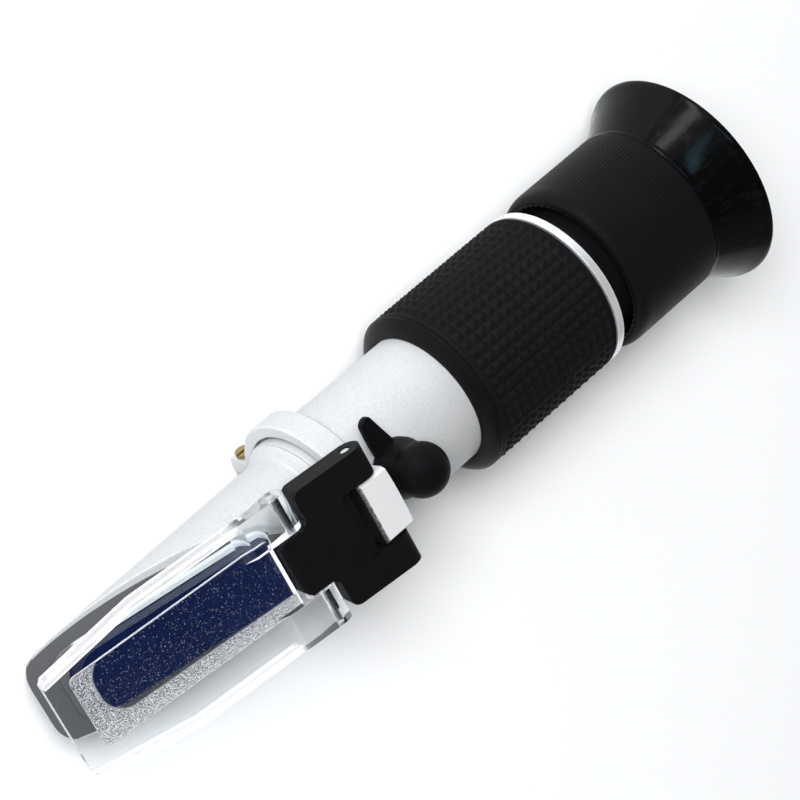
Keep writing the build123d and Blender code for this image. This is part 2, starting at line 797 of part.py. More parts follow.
# Hinge arm: two legs on the block's pin, a stepped pocket, and a tongue for the plate's pin
arm_side = Plane(origin=(hinge_x, 0, hinge_z), x_dir=shown_plane.x_dir, z_dir=(0, -1, 0))
with BuildPart() as hinge_arm:
    with BuildSketch(arm_side):
        with BuildLine():
            heel = CenterArc((0, 0), arm_half_t, -90, 180)
            upper = Line(heel @ 1, (-tongue_reach + 1.0, arm_half_t))
            front_edge = RadiusArc(upper @ 1, (-tongue_reach, arm_half_t - 1.0), -1.0)
            Polyline(
                front_edge @ 1,
                (-tongue_reach, tongue_low + 0.3),
                (-tongue_reach + 0.3, tongue_low),
                (-arm_shoulder - 0.9, tongue_low),
                (-arm_shoulder, -arm_half_t),
                heel @ 0,
            )
        make_face()
    extrude(amount=arm_half_w, both=True)
    # beside the tongue
    with BuildSketch(shown_plane.offset(-6)):
        with BuildLine():
            Polyline(
                (-arm_shoulder, arm_half_w + 1),
                (-arm_shoulder, tongue_half_w + tongue_root),
                (-arm_shoulder - tongue_root, tongue_half_w),
                (-tongue_reach + tongue_tip, tongue_half_w),
                (-tongue_reach, tongue_half_w - tongue_tip),
                (-tongue_reach - 2, tongue_half_w - tongue_tip),
                (-tongue_reach - 2, arm_half_w + 1),
                close=True,
            )
        make_face()
        mirror(about=Plane.XZ)
    extrude(amount=12, mode=Mode.SUBTRACT)
    # notch round the hinge block, and the step in front of it
    with BuildSketch(shown_plane.offset(-6)):
        with Locations(((4 - arm_wall) / 2, 0)):
            Rectangle(4 + arm_wall, 2 * (block_half_w + side_gap))
    extrude(amount=12, mode=Mode.SUBTRACT)
    with BuildSketch(shown_plane.offset(arm_half_t - pocket_depth)):
        with Locations((-arm_wall - pocket_l / 2 + 0.5, 0)):
            Rectangle(pocket_l + 1, 2 * (block_half_w + side_gap))
    extrude(amount=3, mode=Mode.SUBTRACT)
    with BuildSketch(Plane.XZ):
        with Locations((hinge_x, hinge_z)):
            Circle(hinge_pin_r + running)
    extrude(amount=20, both=True, mode=Mode.SUBTRACT)
    with BuildSketch(arm_side):
        with Locations((-plate_pin_reach, plate_pin_up)):
            Circle(plate_pin_r + 0.01)
    extrude(amount=tongue_half_w + 1, both=True, mode=Mode.SUBTRACT)

# Steel pin through the tongue, on which the plate's ears turn
with BuildPart() as plate_pin:
    with BuildSketch(arm_side.offset(-plate_pin_half)):
        with Locations((-plate_pin_reach, plate_pin_up)):
            Circle(plate_pin_r)
    extrude(amount=2 * plate_pin_half)

# Clear daylight plate: rails along its sides, ears on the pin, a raised frosted pad below
with BuildPart() as daylight_plate:
    with BuildSketch(shown_plane.offset(plate_under)):
        with BuildLine():
            Polyline(
                (-plate_rear, plate_half_w),
                (-plate_kink, plate_half_w),
                (-plate_front + 0.8, plate_front_half_w + 0.1),
                (-plate_front, plate_front_half_w - 0.8),
                (-plate_front, 0.8 - plate_front_half_w),
                (-plate_front + 0.8, -plate_front_half_w - 0.1),
                (-plate_kink, -plate_half_w),
                (-plate_rear, -plate_half_w),
                close=True,
            )
        make_face()
    extrude(amount=rail_top - plate_under)
    # the hollow between the rails
    with BuildSketch(shown_plane.offset(plate_under + plate_t)):
        with BuildLine():
            Polyline(
                (-plate_rear + 1, plate_half_w - rail_t),
                (-plate_kink + 0.1, plate_half_w - rail_t),
                (-plate_front - 2, plate_front_half_w - rail_t - 0.3),
                (-plate_front - 2, rail_t + 0.3 - plate_front_half_w),
                (-plate_kink + 0.1, rail_t - plate_half_w),
                (-plate_rear + 1, rail_t - plate_half_w),
                close=True,
            )
        make_face()
    extrude(amount=4, mode=Mode.SUBTRACT)
    # ears, made across the full width and then opened for the tongue
    with BuildSketch(arm_side):
        with BuildLine():
            eye = CenterArc((-plate_pin_reach, plate_pin_up), ear_r, -90, 180)
            Polyline(
                eye @ 1,
                (-plate_rear - 3.2, plate_pin_up + ear_r),
                (-plate_rear - 5.4, plate_under + plate_t),
                (-plate_rear - 5.4, plate_under),
                (-plate_rear, plate_under),
                eye @ 0,
            )
        make_face()
    extrude(amount=plate_half_w, both=True)
    with BuildSketch(shown_plane.offset(-4)):
        with Locations((-plate_rear + 5, 0)):
            Rectangle(10, 2 * ear_inner)
    extrude(amount=8, mode=Mode.SUBTRACT)
    with BuildSketch(shown_plane.offset(plate_under + plate_t)):
        with Locations((-plate_rear - 2.5, 0)):
            Rectangle(7, 2 * ear_inner)
    extrude(amount=6, mode=Mode.SUBTRACT)
    # frosted pad
    with BuildSketch(shown_plane.offset(plate_under)):
        with Locations((-pad_middle, 0)):
            RectangleRounded(pad_l, pad_w, 1.2)
    extrude(amount=-plate_under - pad_below_hinge)
    with BuildSketch(arm_side):
        with Locations((-plate_pin_reach, plate_pin_up)):
            Circle(plate_pin_r + running)
    extrude(amount=20, both=True, mode=Mode.SUBTRACT)

# Damping O-ring in the focus ring's groove
with BuildPart() as focus_o_ring:
    with BuildSketch(Plane.XZ):
        with Locations((o_ring_x, neck_r + 0.1 + o_ring_t / 2)):
            RectangleRounded(o_ring_t, o_ring_t, 0.35)
    revolve(axis=Axis.X)

# Focus ring: rounded nose with a deep mouth, bore on the neck, web that holds the lens tube
with BuildPart() as focus_ring:
    with BuildSketch(Plane.XZ):
        with BuildLine():
            mouth = Line((nose_x, mouth_r), (nose_x, mouth_r + 0.7))
            bulb = ThreePointArc(mouth @ 1, (nose_x + 0.75, focus_r - 0.42), (focus_front_x, focus_r))
            Polyline(
                bulb @ 1,
                (focus_rear_x - 0.5, focus_r),
                (focus_rear_x, focus_r - 0.5),
                (focus_rear_x, rear_seat_r),
                (focus_web_x + focus_web_t, rear_seat_r),
                (focus_web_x + focus_web_t, lens_tube_r + slip),
                (focus_web_x, lens_tube_r + slip),
                (focus_web_x, focus_bore_r),
                (o_ring_x + groove_half, focus_bore_r),
                (o_ring_x + groove_half, groove_r),
                (o_ring_x - groove_half, groove_r),
                (o_ring_x - groove_half, focus_bore_r),
                (nose_x + 3.8, focus_bore_r),
                (nose_x + 3.2, mouth_r),
                mouth @ 0,
            )
        make_face()
    revolve(axis=Axis.X)

# Flared eyecup with a rounded lip
with BuildPart() as eyecup:
    with BuildSketch(Plane.XZ):
        with BuildLine():
            seat = Polyline(
                (focus_web_x + focus_web_t + 1.7, eye_hole_r),
                (focus_web_x + focus_web_t + 1.7, rear_seat_r - slip),
                (focus_rear_x, rear_seat_r - slip),
                (focus_rear_x, focus_r - 0.75),
                (focus_rear_x + 0.5, focus_r - 0.35),
                (focus_rear_x + 1.3, focus_r - 0.2),
            )
            flare = Spline(
                seat @ 1,
                (focus_rear_x + cup_waist_x, cup_waist_r),
                (focus_rear_x + cup_flare_x, cup_flare_r),
                (eyecup_rear_x - cup_lip_x, eyecup_rim_r - 0.35),
                tangents=[(1, 0.12), (1, 0.45)],
            )
            lip = ThreePointArc(
                flare @ 1,
                (eyecup_rear_x - 0.25, eyecup_rim_r - 0.28),
                (eyecup_rear_x - 0.1, eyecup_rim_r - cup_lip_drop),
            )
            inner = Spline(
                lip @ 1,
                (eyecup_rear_x - funnel_high_x, funnel_high_r),
                (eyecup_rear_x - funnel_low_x, funnel_low_r),
                (focus_rear_x + funnel_foot_x, funnel_foot_r),
                tangents=[(-1, -1.1), (-1, -0.9)],
            )
            Polyline(inner @ 1, (focus_rear_x + 2.0, eye_hole_r), seat @ 0)
        make_face()
    revolve(axis=Axis.X)

# Lens tube with its two lenses, spacer and retaining ring
with BuildPart() as lens_tube:
    with BuildSketch(Plane.XZ):
        with BuildLine():
            Polyline(
                (lens_tube_front_x, lens_tube_bore_r - lens_seat_w),
                (lens_tube_front_x, lens_tube_r),
                (focus_web_x + focus_web_t, lens_tube_r),
                (focus_web_x + focus_web_t, rear_seat_r - slip),
                (focus_web_x + focus_web_t + 1.6, rear_seat_r - slip),
                (focus_web_x + focus_web_t + 1.6, lens_tube_bore_r),
                (lens_tube_front_x + lens_seat_t, lens_tube_bore_r),
                (lens_tube_front_x + lens_seat_t, lens_tube_bore_r - lens_seat_w),
                close=True,
            )
        make_face()
    revolve(axis=Axis.X)
with BuildPart() as field_lens:
    with BuildSketch(Plane.XZ):
        with BuildLine():
            edge = Polyline(
                (field_lens_x, 0),
                (field_lens_x, lens_r),
                (field_lens_x + 1.6, lens_r),
                (field_lens_x + 1.6, lens_r - 0.8),
            )
            bulge = dome_r(lens_r - 0.8, 2.1)
            dome = CenterArc(
                (field_lens_x + 3.7 - bulge, 0),
                bulge,
                degrees(asin((lens_r - 0.8) / bulge)),
                -degrees(asin((lens_r - 0.8) / bulge)),
            )
            Line(dome @ 1, edge @ 0)
        make_face()
    revolve(axis=Axis.X)
with BuildPart() as lens_spacer:
    with BuildSketch(Plane.YZ.offset(field_lens_x + 1.62)):
        Circle(lens_r)
        Circle(lens_r - 0.7, mode=Mode.SUBTRACT)
    extrude(amount=eye_lens_x - field_lens_x - 1.64)
with BuildPart() as eye_lens:
    with BuildSketch(Plane.XZ):
        with BuildLine():
            bulge = dome_r(lens_r - 0.8, 1.5)
            front_dome = CenterArc(
                (eye_lens_x - 1.5 + bulge, 0),
                bulge,
                180,
                -degrees(asin((lens_r - 0.8) / bulge)),
            )
            rim = Polyline(front_dome @ 1, (eye_lens_x, lens_r), (eye_lens_x + 1.8, lens_r))
            rear_bulge = dome_r(lens_r, 1.0)
            rear_dome = CenterArc(
                (eye_lens_x + 2.8 - rear_bulge, 0),
                rear_bulge,
                degrees(asin(lens_r / rear_bulge)),
                -degrees(asin(lens_r / rear_bulge)),
            )
            Line(rear_dome @ 1, front_dome @ 0)
        make_face()
    revolve(axis=Axis.X)
with BuildPart() as lens_retaining_ring:
    with BuildSketch(Plane.XZ):
        with BuildLine():
            Polyline(
                (eye_lens_x + 1.85, lens_r),
                (eye_lens_x + eye_ring_back, lens_r),
                (eye_lens_x + eye_ring_back, eye_hole_r + 0.1),
                (eye_lens_x + 2.55, eye_hole_r - 0.1),
                (eye_lens_x + 2.25, eye_hole_r - 0.1),
                close=True,
            )
        make_face()
    revolve(axis=Axis.X)
    with BuildSketch(Plane.YZ.offset(eye_lens_x + eye_ring_back)):
        Rectangle(2 * lens_r + 1, 1.0)
    extrude(amount=-0.5, mode=Mode.SUBTRACT)


front_housing.part.label = "front_housing"
main_prism.part.label = "main_prism"
prism_seal.part.label = "prism_seal"
hinge_ring.part.label = "hinge_ring"
clamp_screw.part.label = "clamp_screw"
hinge_pin.part.label = "hinge_pin"
barrel.part.label = "barrel"
screw_boss.part.label = "screw_boss"
calibration_screw.part.label = "calibration_screw"
calibration_cap.part.label = "calibration_cap"
lens_guide.part.label = "lens_guide"
lens_cell.part.label = "lens_cell"
objective_lens.part.label = "objective_lens"
leaf_spring.part.label = "leaf_spring"
spring_post.part.label = "spring_post"
spring_screw.part.label = "spring_screw"
grip_collar.part.label = "grip_collar"
grip_sleeve.part.label = "grip_sleeve"
trim_ring.part.label = "trim_ring"
eyepiece_neck.part.label = "eyepiece_neck"
reticle.part.label = "reticle"
reticle_ring.part.label = "reticle_ring"
hinge_arm.part.label = "hinge_arm"
plate_pin.part.label = "plate_pin"
daylight_plate.part.label = "daylight_plate"
focus_o_ring.part.label = "focus_o_ring"
focus_ring.part.label = "focus_ring"
eyecup.part.label = "eyecup"
lens_tube.part.label = "lens_tube"
field_lens.part.label = "field_lens"
lens_spacer.part.label = "lens_spacer"
eye_lens.part.label = "eye_lens"
lens_retaining_ring.part.label = "lens_retaining_ring"

export_step(front_housing.part, "parts/front_housing.step")
export_step(main_prism.part, "parts/main_prism.step")
export_step(prism_seal.part, "parts/prism_seal.step")
export_step(hinge_ring.part, "parts/hinge_ring.step")
export_step(clamp_screw.part, "parts/clamp_screw.step")
export_step(hinge_pin.part, "parts/hinge_pin.step")
export_step(barrel.part, "parts/barrel.step")
export_step(screw_boss.part, "parts/screw_boss.step")
export_step(calibration_screw.part, "parts/calibration_screw.step")
export_step(calibration_cap.part, "parts/calibration_cap.step")
export_step(lens_guide.part, "parts/lens_guide.step")
export_step(lens_cell.part, "parts/lens_cell.step")
export_step(objective_lens.part, "parts/objective_lens.step")
export_step(leaf_spring.part, "parts/leaf_spring.step")
export_step(spring_post.part, "parts/spring_post.step")
export_step(spring_screw.part, "parts/spring_screw.step")
export_step(grip_collar.part, "parts/grip_collar.step")
export_step(grip_sleeve.part, "parts/grip_sleeve.step")
export_step(trim_ring.part, "parts/trim_ring.step")
export_step(eyepiece_neck.part, "parts/eyepiece_neck.step")
export_step(reticle.part, "parts/reticle.step")
export_step(reticle_ring.part, "parts/reticle_ring.step")
export_step(hinge_arm.part, "parts/hinge_arm.step")
export_step(plate_pin.part, "parts/plate_pin.step")
export_step(daylight_plate.part, "parts/daylight_plate.step")
export_step(focus_o_ring.part, "parts/focus_o_ring.step")
export_step(focus_ring.part, "parts/focus_ring.step")
export_step(eyecup.part, "parts/eyecup.step")
export_step(lens_tube.part, "parts/lens_tube.step")
export_step(field_lens.part, "parts/field_lens.step")
export_step(lens_spacer.part, "parts/lens_spacer.step")
export_step(eye_lens.part, "parts/eye_lens.step")
export_step(lens_retaining_ring.part, "parts/lens_retaining_ring.step")
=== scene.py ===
"""Handheld brix refractometer: fine surfaces, finishes and a plain studio round its fixed frame.

Surfaces are worked out in millimetres and made a mesh in metres, and the finishes are in metres.
+X runs along the optical axis towards the eyepiece, and +Z is the side of the prism.
"""
import json

import bmesh
import bpy
import numpy as np
from bpy.props import FloatProperty, FloatVectorProperty, IntProperty, PointerProperty
from mathutils import Matrix, Vector


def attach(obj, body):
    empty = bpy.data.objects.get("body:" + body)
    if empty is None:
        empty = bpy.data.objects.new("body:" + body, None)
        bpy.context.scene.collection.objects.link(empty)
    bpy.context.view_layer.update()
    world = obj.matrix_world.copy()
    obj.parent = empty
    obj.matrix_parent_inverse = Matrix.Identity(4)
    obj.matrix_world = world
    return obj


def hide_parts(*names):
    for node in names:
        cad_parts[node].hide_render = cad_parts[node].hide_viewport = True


bl_info = {
    "name": "Brix refractometer dresser",
    "version": (1, 0, 0),
    "blender": (4, 5, 0),
    "location": "3D View > Sidebar > Refractometer",
    "description": "Fine surfaces, finishes and a studio for a handheld brix refractometer",
    "category": "Object",
}

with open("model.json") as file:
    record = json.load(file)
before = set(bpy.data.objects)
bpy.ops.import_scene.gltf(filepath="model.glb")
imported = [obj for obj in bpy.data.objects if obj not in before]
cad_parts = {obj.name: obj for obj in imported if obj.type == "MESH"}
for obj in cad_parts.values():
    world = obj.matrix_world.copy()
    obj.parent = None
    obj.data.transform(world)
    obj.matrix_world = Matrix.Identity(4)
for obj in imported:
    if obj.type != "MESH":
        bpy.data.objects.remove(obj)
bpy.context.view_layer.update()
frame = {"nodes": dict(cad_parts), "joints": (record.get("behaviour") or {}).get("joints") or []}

MM = 0.001

# slopes of the daylight plate as it stands ajar, and of the cut under the prism
SLOPE_SHOWN = np.radians(12.0)
SLOPE_CUT = np.radians(19.6)

# the arm's pin, and the place along X of the calibration screw and its cap
PIVOTS = {joint["name"]: joint.get("pos_m") for joint in frame["joints"]}
HINGE = np.array(PIVOTS["arm_hinge"]) / MM
CAP_X = PIVOTS["calibration_turn"][0] / MM

# barrel, and the radius on which collar and grip sit
BORE_R, BARREL_R, SEAT_R = 10.9, 12.6, 12.65
BARREL_FRONT, BARREL_REAR = -12.95, 44.4

# front housing: its nose, its taper, and the slanted cut with a rim of plain metal beside its dark
# face
NOSE_X, NOSE_R = -74.6, 2.6
TAPER_X, TAPER_R = [-72.0, -20.5], [10.3, 10.8]
CUT_DEPTH, CUT_SOFT = 5.2, 0.28
RIM_X, RIM_WIDTH = [-70.0, -58.0, -45.0], [0.35, 0.8, 1.25]

# lean of the clamp screw's axis from the top towards +Y
SCREW_LEAN = np.radians(75.0)

# camera fitted to the photograph: focal length in pixels, sensor in millimetres, place in metres
PHOTO_PX, FOCAL_PX, SENSOR = 800, 3471.17, 36.0
CAMERA_PLACE = (-0.26986, 0.21717, 0.47634)
CAMERA_RIGHT = (0.67057, -0.44758, 0.59161)
CAMERA_UP = (0.57476, 0.81766, -0.03287)
CAMERA_BACK = (-0.46902, 0.36207, 0.80556)


# Shader writing


class Value:
    """A number in a shader. Arithmetic on it adds Math nodes to the tree of its finish."""

    def __init__(self, finish, socket):
        self.finish = finish
        self.socket = socket

    def _math(self, operation, *terms):
        made = self.finish.node("ShaderNodeMath", {"operation": operation}, *terms)
        return Value(self.finish, made.outputs[0])

    def __add__(self, other):
        return self._math("ADD", self, other)

    __radd__ = __add__

    def __sub__(self, other):
        return self._math("SUBTRACT", self, other)

    def __rsub__(self, other):
        return self._math("SUBTRACT", other, self)

    def __mul__(self, other):
        return self._math("MULTIPLY", self, other)

    __rmul__ = __mul__

    def __pow__(self, other):
        return self._math("POWER", self, other)

    def at_least(self, other):
        return self._math("MAXIMUM", self, other)

    def wave(self):
        return self._math("SINE", self)

    def size(self):
        return self._math("ABSOLUTE", self)

    def over(self, low, high):
        """0 below low, 1 above high, and smooth between."""
        made = self.finish.node(
            "ShaderNodeMapRange", {"interpolation_type": "SMOOTHSTEP"}, self, low, high, 0.0, 1.0
        )
        return Value(self.finish, made.outputs[0])


class Nodes:
    """Node tree of a material or of the world."""

    def __init__(self, tree):
        self.tree = tree

    def node(self, kind, settings=None, *inputs, **named):
        made = self.tree.nodes.new(kind)
        for key, setting in (settings or {}).items():
            setattr(made, key, setting)
        for key, given in list(enumerate(inputs)) + list(named.items()):
            self.feed(made.inputs[key], given)
        return made

    def feed(self, socket, given):
        if isinstance(given, Value):
            given = given.socket
        if isinstance(given, bpy.types.NodeSocket):
            self.tree.links.new(given, socket)
        elif given is not None:
            socket.default_value = given


class Finish(Nodes):
    """One material on a Principled shader, with the few kinds of pattern that this object needs."""

    def __init__(self, name):
        self.material = bpy.data.materials.new(name)
        self.material.use_nodes = True
        super().__init__(self.material.node_tree)
        self.shader = self.tree.nodes["Principled BSDF"]
        self.output = self.tree.nodes["Material Output"]
        self.place = self.node("ShaderNodeTexCoord").outputs["Object"]

    def set(self, **inputs):
        for key, given in inputs.items():
            self.feed(self.shader.inputs[key.replace("_", " ")], given)
        return self

    def noise(self, scale, detail, roughness, stretch=(1.0, 1.0, 1.0)):
        """Soft noise, drawn out along an axis where its stretch is below 1."""
        where = self._vector("MULTIPLY", self.place, stretch).outputs[0]
        made = self.node("ShaderNodeTexNoise", None, Vector=where, Scale=scale, Detail=detail,
                         Roughness=roughness)
        return Value(self, made.outputs[0])

    def _vector(self, operation, first, second):
        return self.node("ShaderNodeVectorMath", {"operation": operation}, first, second)

    def specks(self, scale):
        """Distance from the nearest of many scattered points, as a share of their spacing."""
        made = self.node("ShaderNodeTexVoronoi", None, Vector=self.place, Scale=scale)
        return Value(self, made.outputs["Distance"])

    def along(self, direction, origin=(0.0, 0.0, 0.0)):
        """Distance of a point from a plane, in metres."""
        moved = self._vector("SUBTRACT", self.place, tuple(origin)).outputs[0]
        made = self._vector("DOT_PRODUCT", moved, tuple(direction))
        return Value(self, made.outputs["Value"])

    def attribute(self, name):
        made = self.node("ShaderNodeAttribute", {"attribute_name": name})
        return Value(self, made.outputs["Fac"])

    def mix(self, factor, first, second):
        """Colour between the first, at factor 0, and the second, at factor 1."""
        made = self.node("ShaderNodeMix", {"data_type": "RGBA"})
        colour_sockets, colour_out = (0, 6, 7), 2
        for socket, given in zip(colour_sockets, (factor, first, second)):
            self.feed(made.inputs[socket], given)
        return made.outputs[colour_out]

    def blend(self, factor, first, second):
        """Shader between the first, at factor 0, and the second, at factor 1."""
        return self.node("ShaderNodeMixShader", None, factor, first, second).outputs[0]

    def base(self):
        """The colour that has been fed to the shader so far."""
        return self.shader.inputs["Base Color"].links[0].from_socket

    def bump(self, height, depth, strength):
        made = self.node("ShaderNodeBump", None, Strength=strength, Distance=depth)
        self.feed(made.inputs["Height"], height)
        self.set(Normal=made.outputs[0])
        return self


def grey(level, blue=0.0):
    """A grey, with a little more blue where that is given."""
    return (level, level, level + blue, 1.0)


def shade(tint, share=1.0):
    """A tint at a share of its brightness, as a colour with alpha."""
    return (*(share * c for c in tint), 1.0)


def blasted_aluminium(name, tint):
    """Bead-blasted, anodised aluminium: frosted grain, slow changes of tone, faint handling marks.

    The clear oxide scatters light, so the shader is part metal and part a pale matt surface.
    """
    finish = Finish(name)
    cloud = finish.noise(150.0, 4.0, 0.6)
    grain = finish.noise(5200.0, 3.0, 0.7)
    marks = finish.noise(700.0, 6.0, 0.75, (0.3, 1.0, 1.0)).over(0.63, 0.76)
    mottle = finish.noise(2300.0, 2.0, 0.6).over(0.4, 0.75)
    colour = finish.mix(cloud, shade(tint, 0.93), shade(tint))
    colour = finish.mix(mottle * 0.3, colour, shade(tint, 0.6))
    finish.set(Base_Color=finish.mix(marks * 0.3, colour, grey(0.5, 0.01)))
    finish.set(Metallic=0.45, Roughness=0.5 + grain * 0.1 - marks * 0.06)
    return finish.bump(grain, 0.000012, 0.35)


def moulded_rubber(name, level, dust_share=0.16):
    """Black rubber: dull, with a mottled bloom and some specks of dust."""
    finish = Finish(name)
    bloom = finish.noise(420.0, 4.0, 0.65)
    grain = finish.noise(4200.0, 2.0, 0.6)
    dust = finish.specks(1500.0).over(0.10, 0.03) * bloom.over(0.5, 0.62)
    colour = finish.mix(bloom, grey(level * 0.7), grey(level * 1.3, 0.001))
    finish.set(Base_Color=finish.mix(dust * dust_share, colour, grey(0.16, 0.02)))
    finish.set(Roughness=0.42 + grain * 0.2, Specular_IOR_Level=0.07)
    return finish.bump(grain, 0.00001, 0.35)


def smeared_black(name, level, roughness):
    """Satin black with faint smears."""
    finish = Finish(name)
    smear = finish.noise(180.0, 4.0, 0.6)
    finish.set(Base_Color=finish.mix(smear, grey(level * 0.8), grey(level * 1.2, 0.001)))
    return finish.set(Roughness=roughness + smear * 0.1, Specular_IOR_Level=0.07)


def satin_plastic(name, level, roughness):
    """Black moulded plastic or anodised tube, with a very fine grain."""
    finish = smeared_black(name, level, roughness)
    return finish.bump(finish.noise(6000.0, 2.0, 0.6), 0.000006, 0.3)


def serrated_black():
    """Black anodised focus ring, with short cross cuts along its serrations."""
    finish = smeared_black("focus_black", 0.0038, 0.4)
    cuts = (finish.along((1.0, 0.0, 0.0)) * 9000.0).wave()
    grain = finish.noise(2400.0, 2.0, 0.6)
    return finish.bump(cuts * 0.6 + grain, 0.00002, 0.6)


def gloss_eyecup():
    """Glossy black eyecup: a hard shine with soft waves from the mould and light fingermarks."""
    finish = Finish("gloss_eyecup")
    waves = finish.noise(70.0, 2.0, 0.4)
    marks = finish.noise(620.0, 5.0, 0.7, (0.2, 1.0, 1.0)).over(0.48, 0.68)
    finish.set(Base_Color=finish.mix(marks, grey(0.0012), grey(0.0028, 0.001)))
    finish.set(Roughness=0.15 + marks * 0.12, Specular_IOR_Level=0.12)
    strokes = finish.noise(1500.0, 3.0, 0.7, (0.08, 1.0, 1.0))
    return finish.bump(waves + strokes * 0.3, 0.00008, 0.4)


def arm_plastic():
    """Black spark-eroded plastic of the hinge arm, with an even fine grain."""
    finish = Finish("arm_plastic")
    cloud = finish.noise(300.0, 3.0, 0.5)
    grain = finish.noise(5200.0, 3.0, 0.65)
    finish.set(Base_Color=finish.mix(cloud, grey(0.0028), grey(0.005, 0.0006)))
    finish.set(Roughness=0.4 + grain * 0.16, Specular_IOR_Level=0.05)
    return finish.bump(grain, 0.000016, 0.5)


def bright_metal(name, tint, roughness, metallic=1.0):
    """Turned or plated metal, with fine rings from the lathe."""
    finish = Finish(name)
    rings = (finish.along((1.0, 0.0, 0.0)) * 26000.0).wave()
    cloud = finish.noise(700.0, 4.0, 0.6)
    finish.set(Base_Color=finish.mix(cloud, shade(tint, 0.86), shade(tint)))
    finish.set(Metallic=metallic, Roughness=roughness + cloud * 0.08)
    return finish.bump(rings, 0.000002, 0.4)


def clear_plastic():
    """Clear acrylic of the daylight plate, with satin rails and a frosted pad with painted glints.

    The milky parts are the two satin rails, and painted highlights on the rear edge between the
    ears, on the low wall round the pad and on the pad's rim. The plate lets most of the light
    through to what lies in its shadow.
    """
    finish = Finish("clear_plastic")
    reach, side, height = plate_place(finish)
    pad, pad_wall, rim = pad_parts(reach, side, height)
    worn = pad_wear(finish, reach)
    outside = pad * (1.0 - worn)

    frost = finish.noise(3600.0, 2.0, 0.7)
    haze = finish.noise(90.0, 3.0, 0.5)
    finish.set(Base_Color=finish.mix(haze, (0.96, 0.98, 0.985, 1.0), (0.985, 0.993, 0.997, 1.0)))
    finish.set(Roughness=0.01 + haze * 0.02 + pad * 0.13, Transmission_Weight=1.0, IOR=1.49)
    finish.bump(frost * pad * (1.0 - worn * 0.75) + haze * 0.003, 0.00009, 0.8)

    # painted glints: sparse white specks on the pad stand in for light sparkling off its frost
    glint = finish.specks(2500.0).over(0.22, 0.12)
    silver = finish.noise(5200.0, 1.0, 0.5).over(0.42, 0.60)
    dense = (1.0 - worn) * (0.6 + silver * 0.2)
    frost_and_glints = pad * (glint * 0.28).at_least(dense)
    streaks = finish.noise(1500.0, 3.0, 0.6, (0.12, 1.0, 1.0))
    rail, rear = plate_edges(reach, side)
    # painted highlights: the rear edge, the pad's wall and its rim are whitened as if catching
    # light
    milky_and_painted_highlights = (rail * (0.3 + streaks * 0.36)).at_least(rear * 0.8)
    milky_and_painted_highlights = milky_and_painted_highlights.at_least(pad_wall * 0.75).at_least(rim * 0.7).at_least(frost_and_glints)
    speckled = finish.mix(silver, grey(0.08, 0.01), grey(0.52, 0.01))
    white_frost_and_highlights = finish.node("ShaderNodeBsdfPrincipled", None, Roughness=0.35)
    finish.feed(white_frost_and_highlights.inputs["Base Color"], finish.mix(outside, grey(0.82, 0.015), speckled))
    pale = finish.blend(milky_and_painted_highlights, finish.shader.outputs[0], white_frost_and_highlights.outputs[0])

    in_shadow = finish.node("ShaderNodeLightPath").outputs["Is Shadow Ray"]
    through = finish.node("ShaderNodeBsdfTransparent", None, Color=(0.9, 0.915, 0.925, 1.0))
    finish.feed(finish.output.inputs[0], finish.blend(in_shadow, pale, through.outputs[0]))
    return finish


def plate_place(finish):
    """Place on the daylight plate, in metres from the hinge line.

    Reach runs forward along the plate, side is the distance from its middle, and height is
    measured square to it.
    """
    hinge = HINGE * MM
    along, square = np.cos(SLOPE_SHOWN), np.sin(SLOPE_SHOWN)
    height = finish.along((-square, 0.0, along), hinge)
    reach = finish.along((-along, 0.0, -square), hinge)
    side = finish.along((0.0, 1.0, 0.0)).size()
    return reach, side, height


def pad_parts(reach, side, height):
    """Masks of the frosted pad, of the low wall round it, and of the rim at its front and sides."""
    near_pad = reach.over(0.0183, 0.0186) * side.over(0.0069, 0.0068)
    pad = height.over(-0.00112, -0.00117) * near_pad
    # the pad's wall and its rim carry painted highlights in the clear finish
    pad_wall = height.over(-0.00078, -0.00084) * (1.0 - pad) * near_pad
    low = height.over(-0.00095, -0.00105) * near_pad
    rim = low * reach.over(0.05785, 0.05800).at_least(side.over(0.00636, 0.00648))
    return pad, pad_wall, rim


def plate_edges(reach, side):
    """Masks of the rails, which draw in from the kink forward, and of the edge between the ears."""
    kink, half_width, draw = 0.0432, 0.0124, 0.1405
    edge = half_width - (reach - kink).at_least(0.0) * draw
    rail = (side - edge).over(-0.00136, -0.00128) * reach.over(0.0215, 0.0240)
    # the edge between the ears carries a painted highlight in the clear finish
    rear = reach.over(0.01925, 0.01910) * side.over(0.0057, 0.0056)
    return rail, rear


def pad_wear(finish, reach):
    """Mask of the pad's middle, which use has polished: a long round-ended patch, a little skew.

    It holds the points within a fixed distance of a flat strip: beside the strip the distance is
    taken sideways, in front of it also forward, and both are joined as a root of squares.
    """
    pad_rear, front, offset, skew, half_strip = 0.0186, 0.0505, 0.0011, 0.02, 0.0009
    drift = finish.along((0.0, 1.0, 0.0)) - offset - (reach - pad_rear) * skew
    beside = (drift.size() - half_strip).at_least(0.0)
    ahead = (reach - front).at_least(0.0)
    return ((beside * beside + ahead * ahead) ** 0.5).over(0.0047, 0.0042)


def prism_glass():
    """Dark blue prism with a polished face and pale ground sides."""
    finish = Finish("prism_glass")
    height = finish.along((-np.sin(SLOPE_CUT), 0.0, np.cos(SLOPE_CUT)), HINGE * MM)
    ground = 1.0 - height.over(-0.00175, -0.00150)
    cloud = finish.noise(240.0, 3.0, 0.5)
    grain = finish.noise(4200.0, 3.0, 0.7)
    face = finish.mix(cloud, (0.001, 0.004, 0.024, 1.0), (0.002, 0.008, 0.042, 1.0))
    side = finish.mix(grain, (0.002, 0.006, 0.03, 1.0), (0.005, 0.012, 0.05, 1.0))
    finish.set(Base_Color=finish.mix(ground, face, side))
    finish.set(Roughness=0.05 + ground * (0.25 + grain * 0.2), IOR=1.52)
    return finish.bump(grain * ground, 0.00002, 0.5)


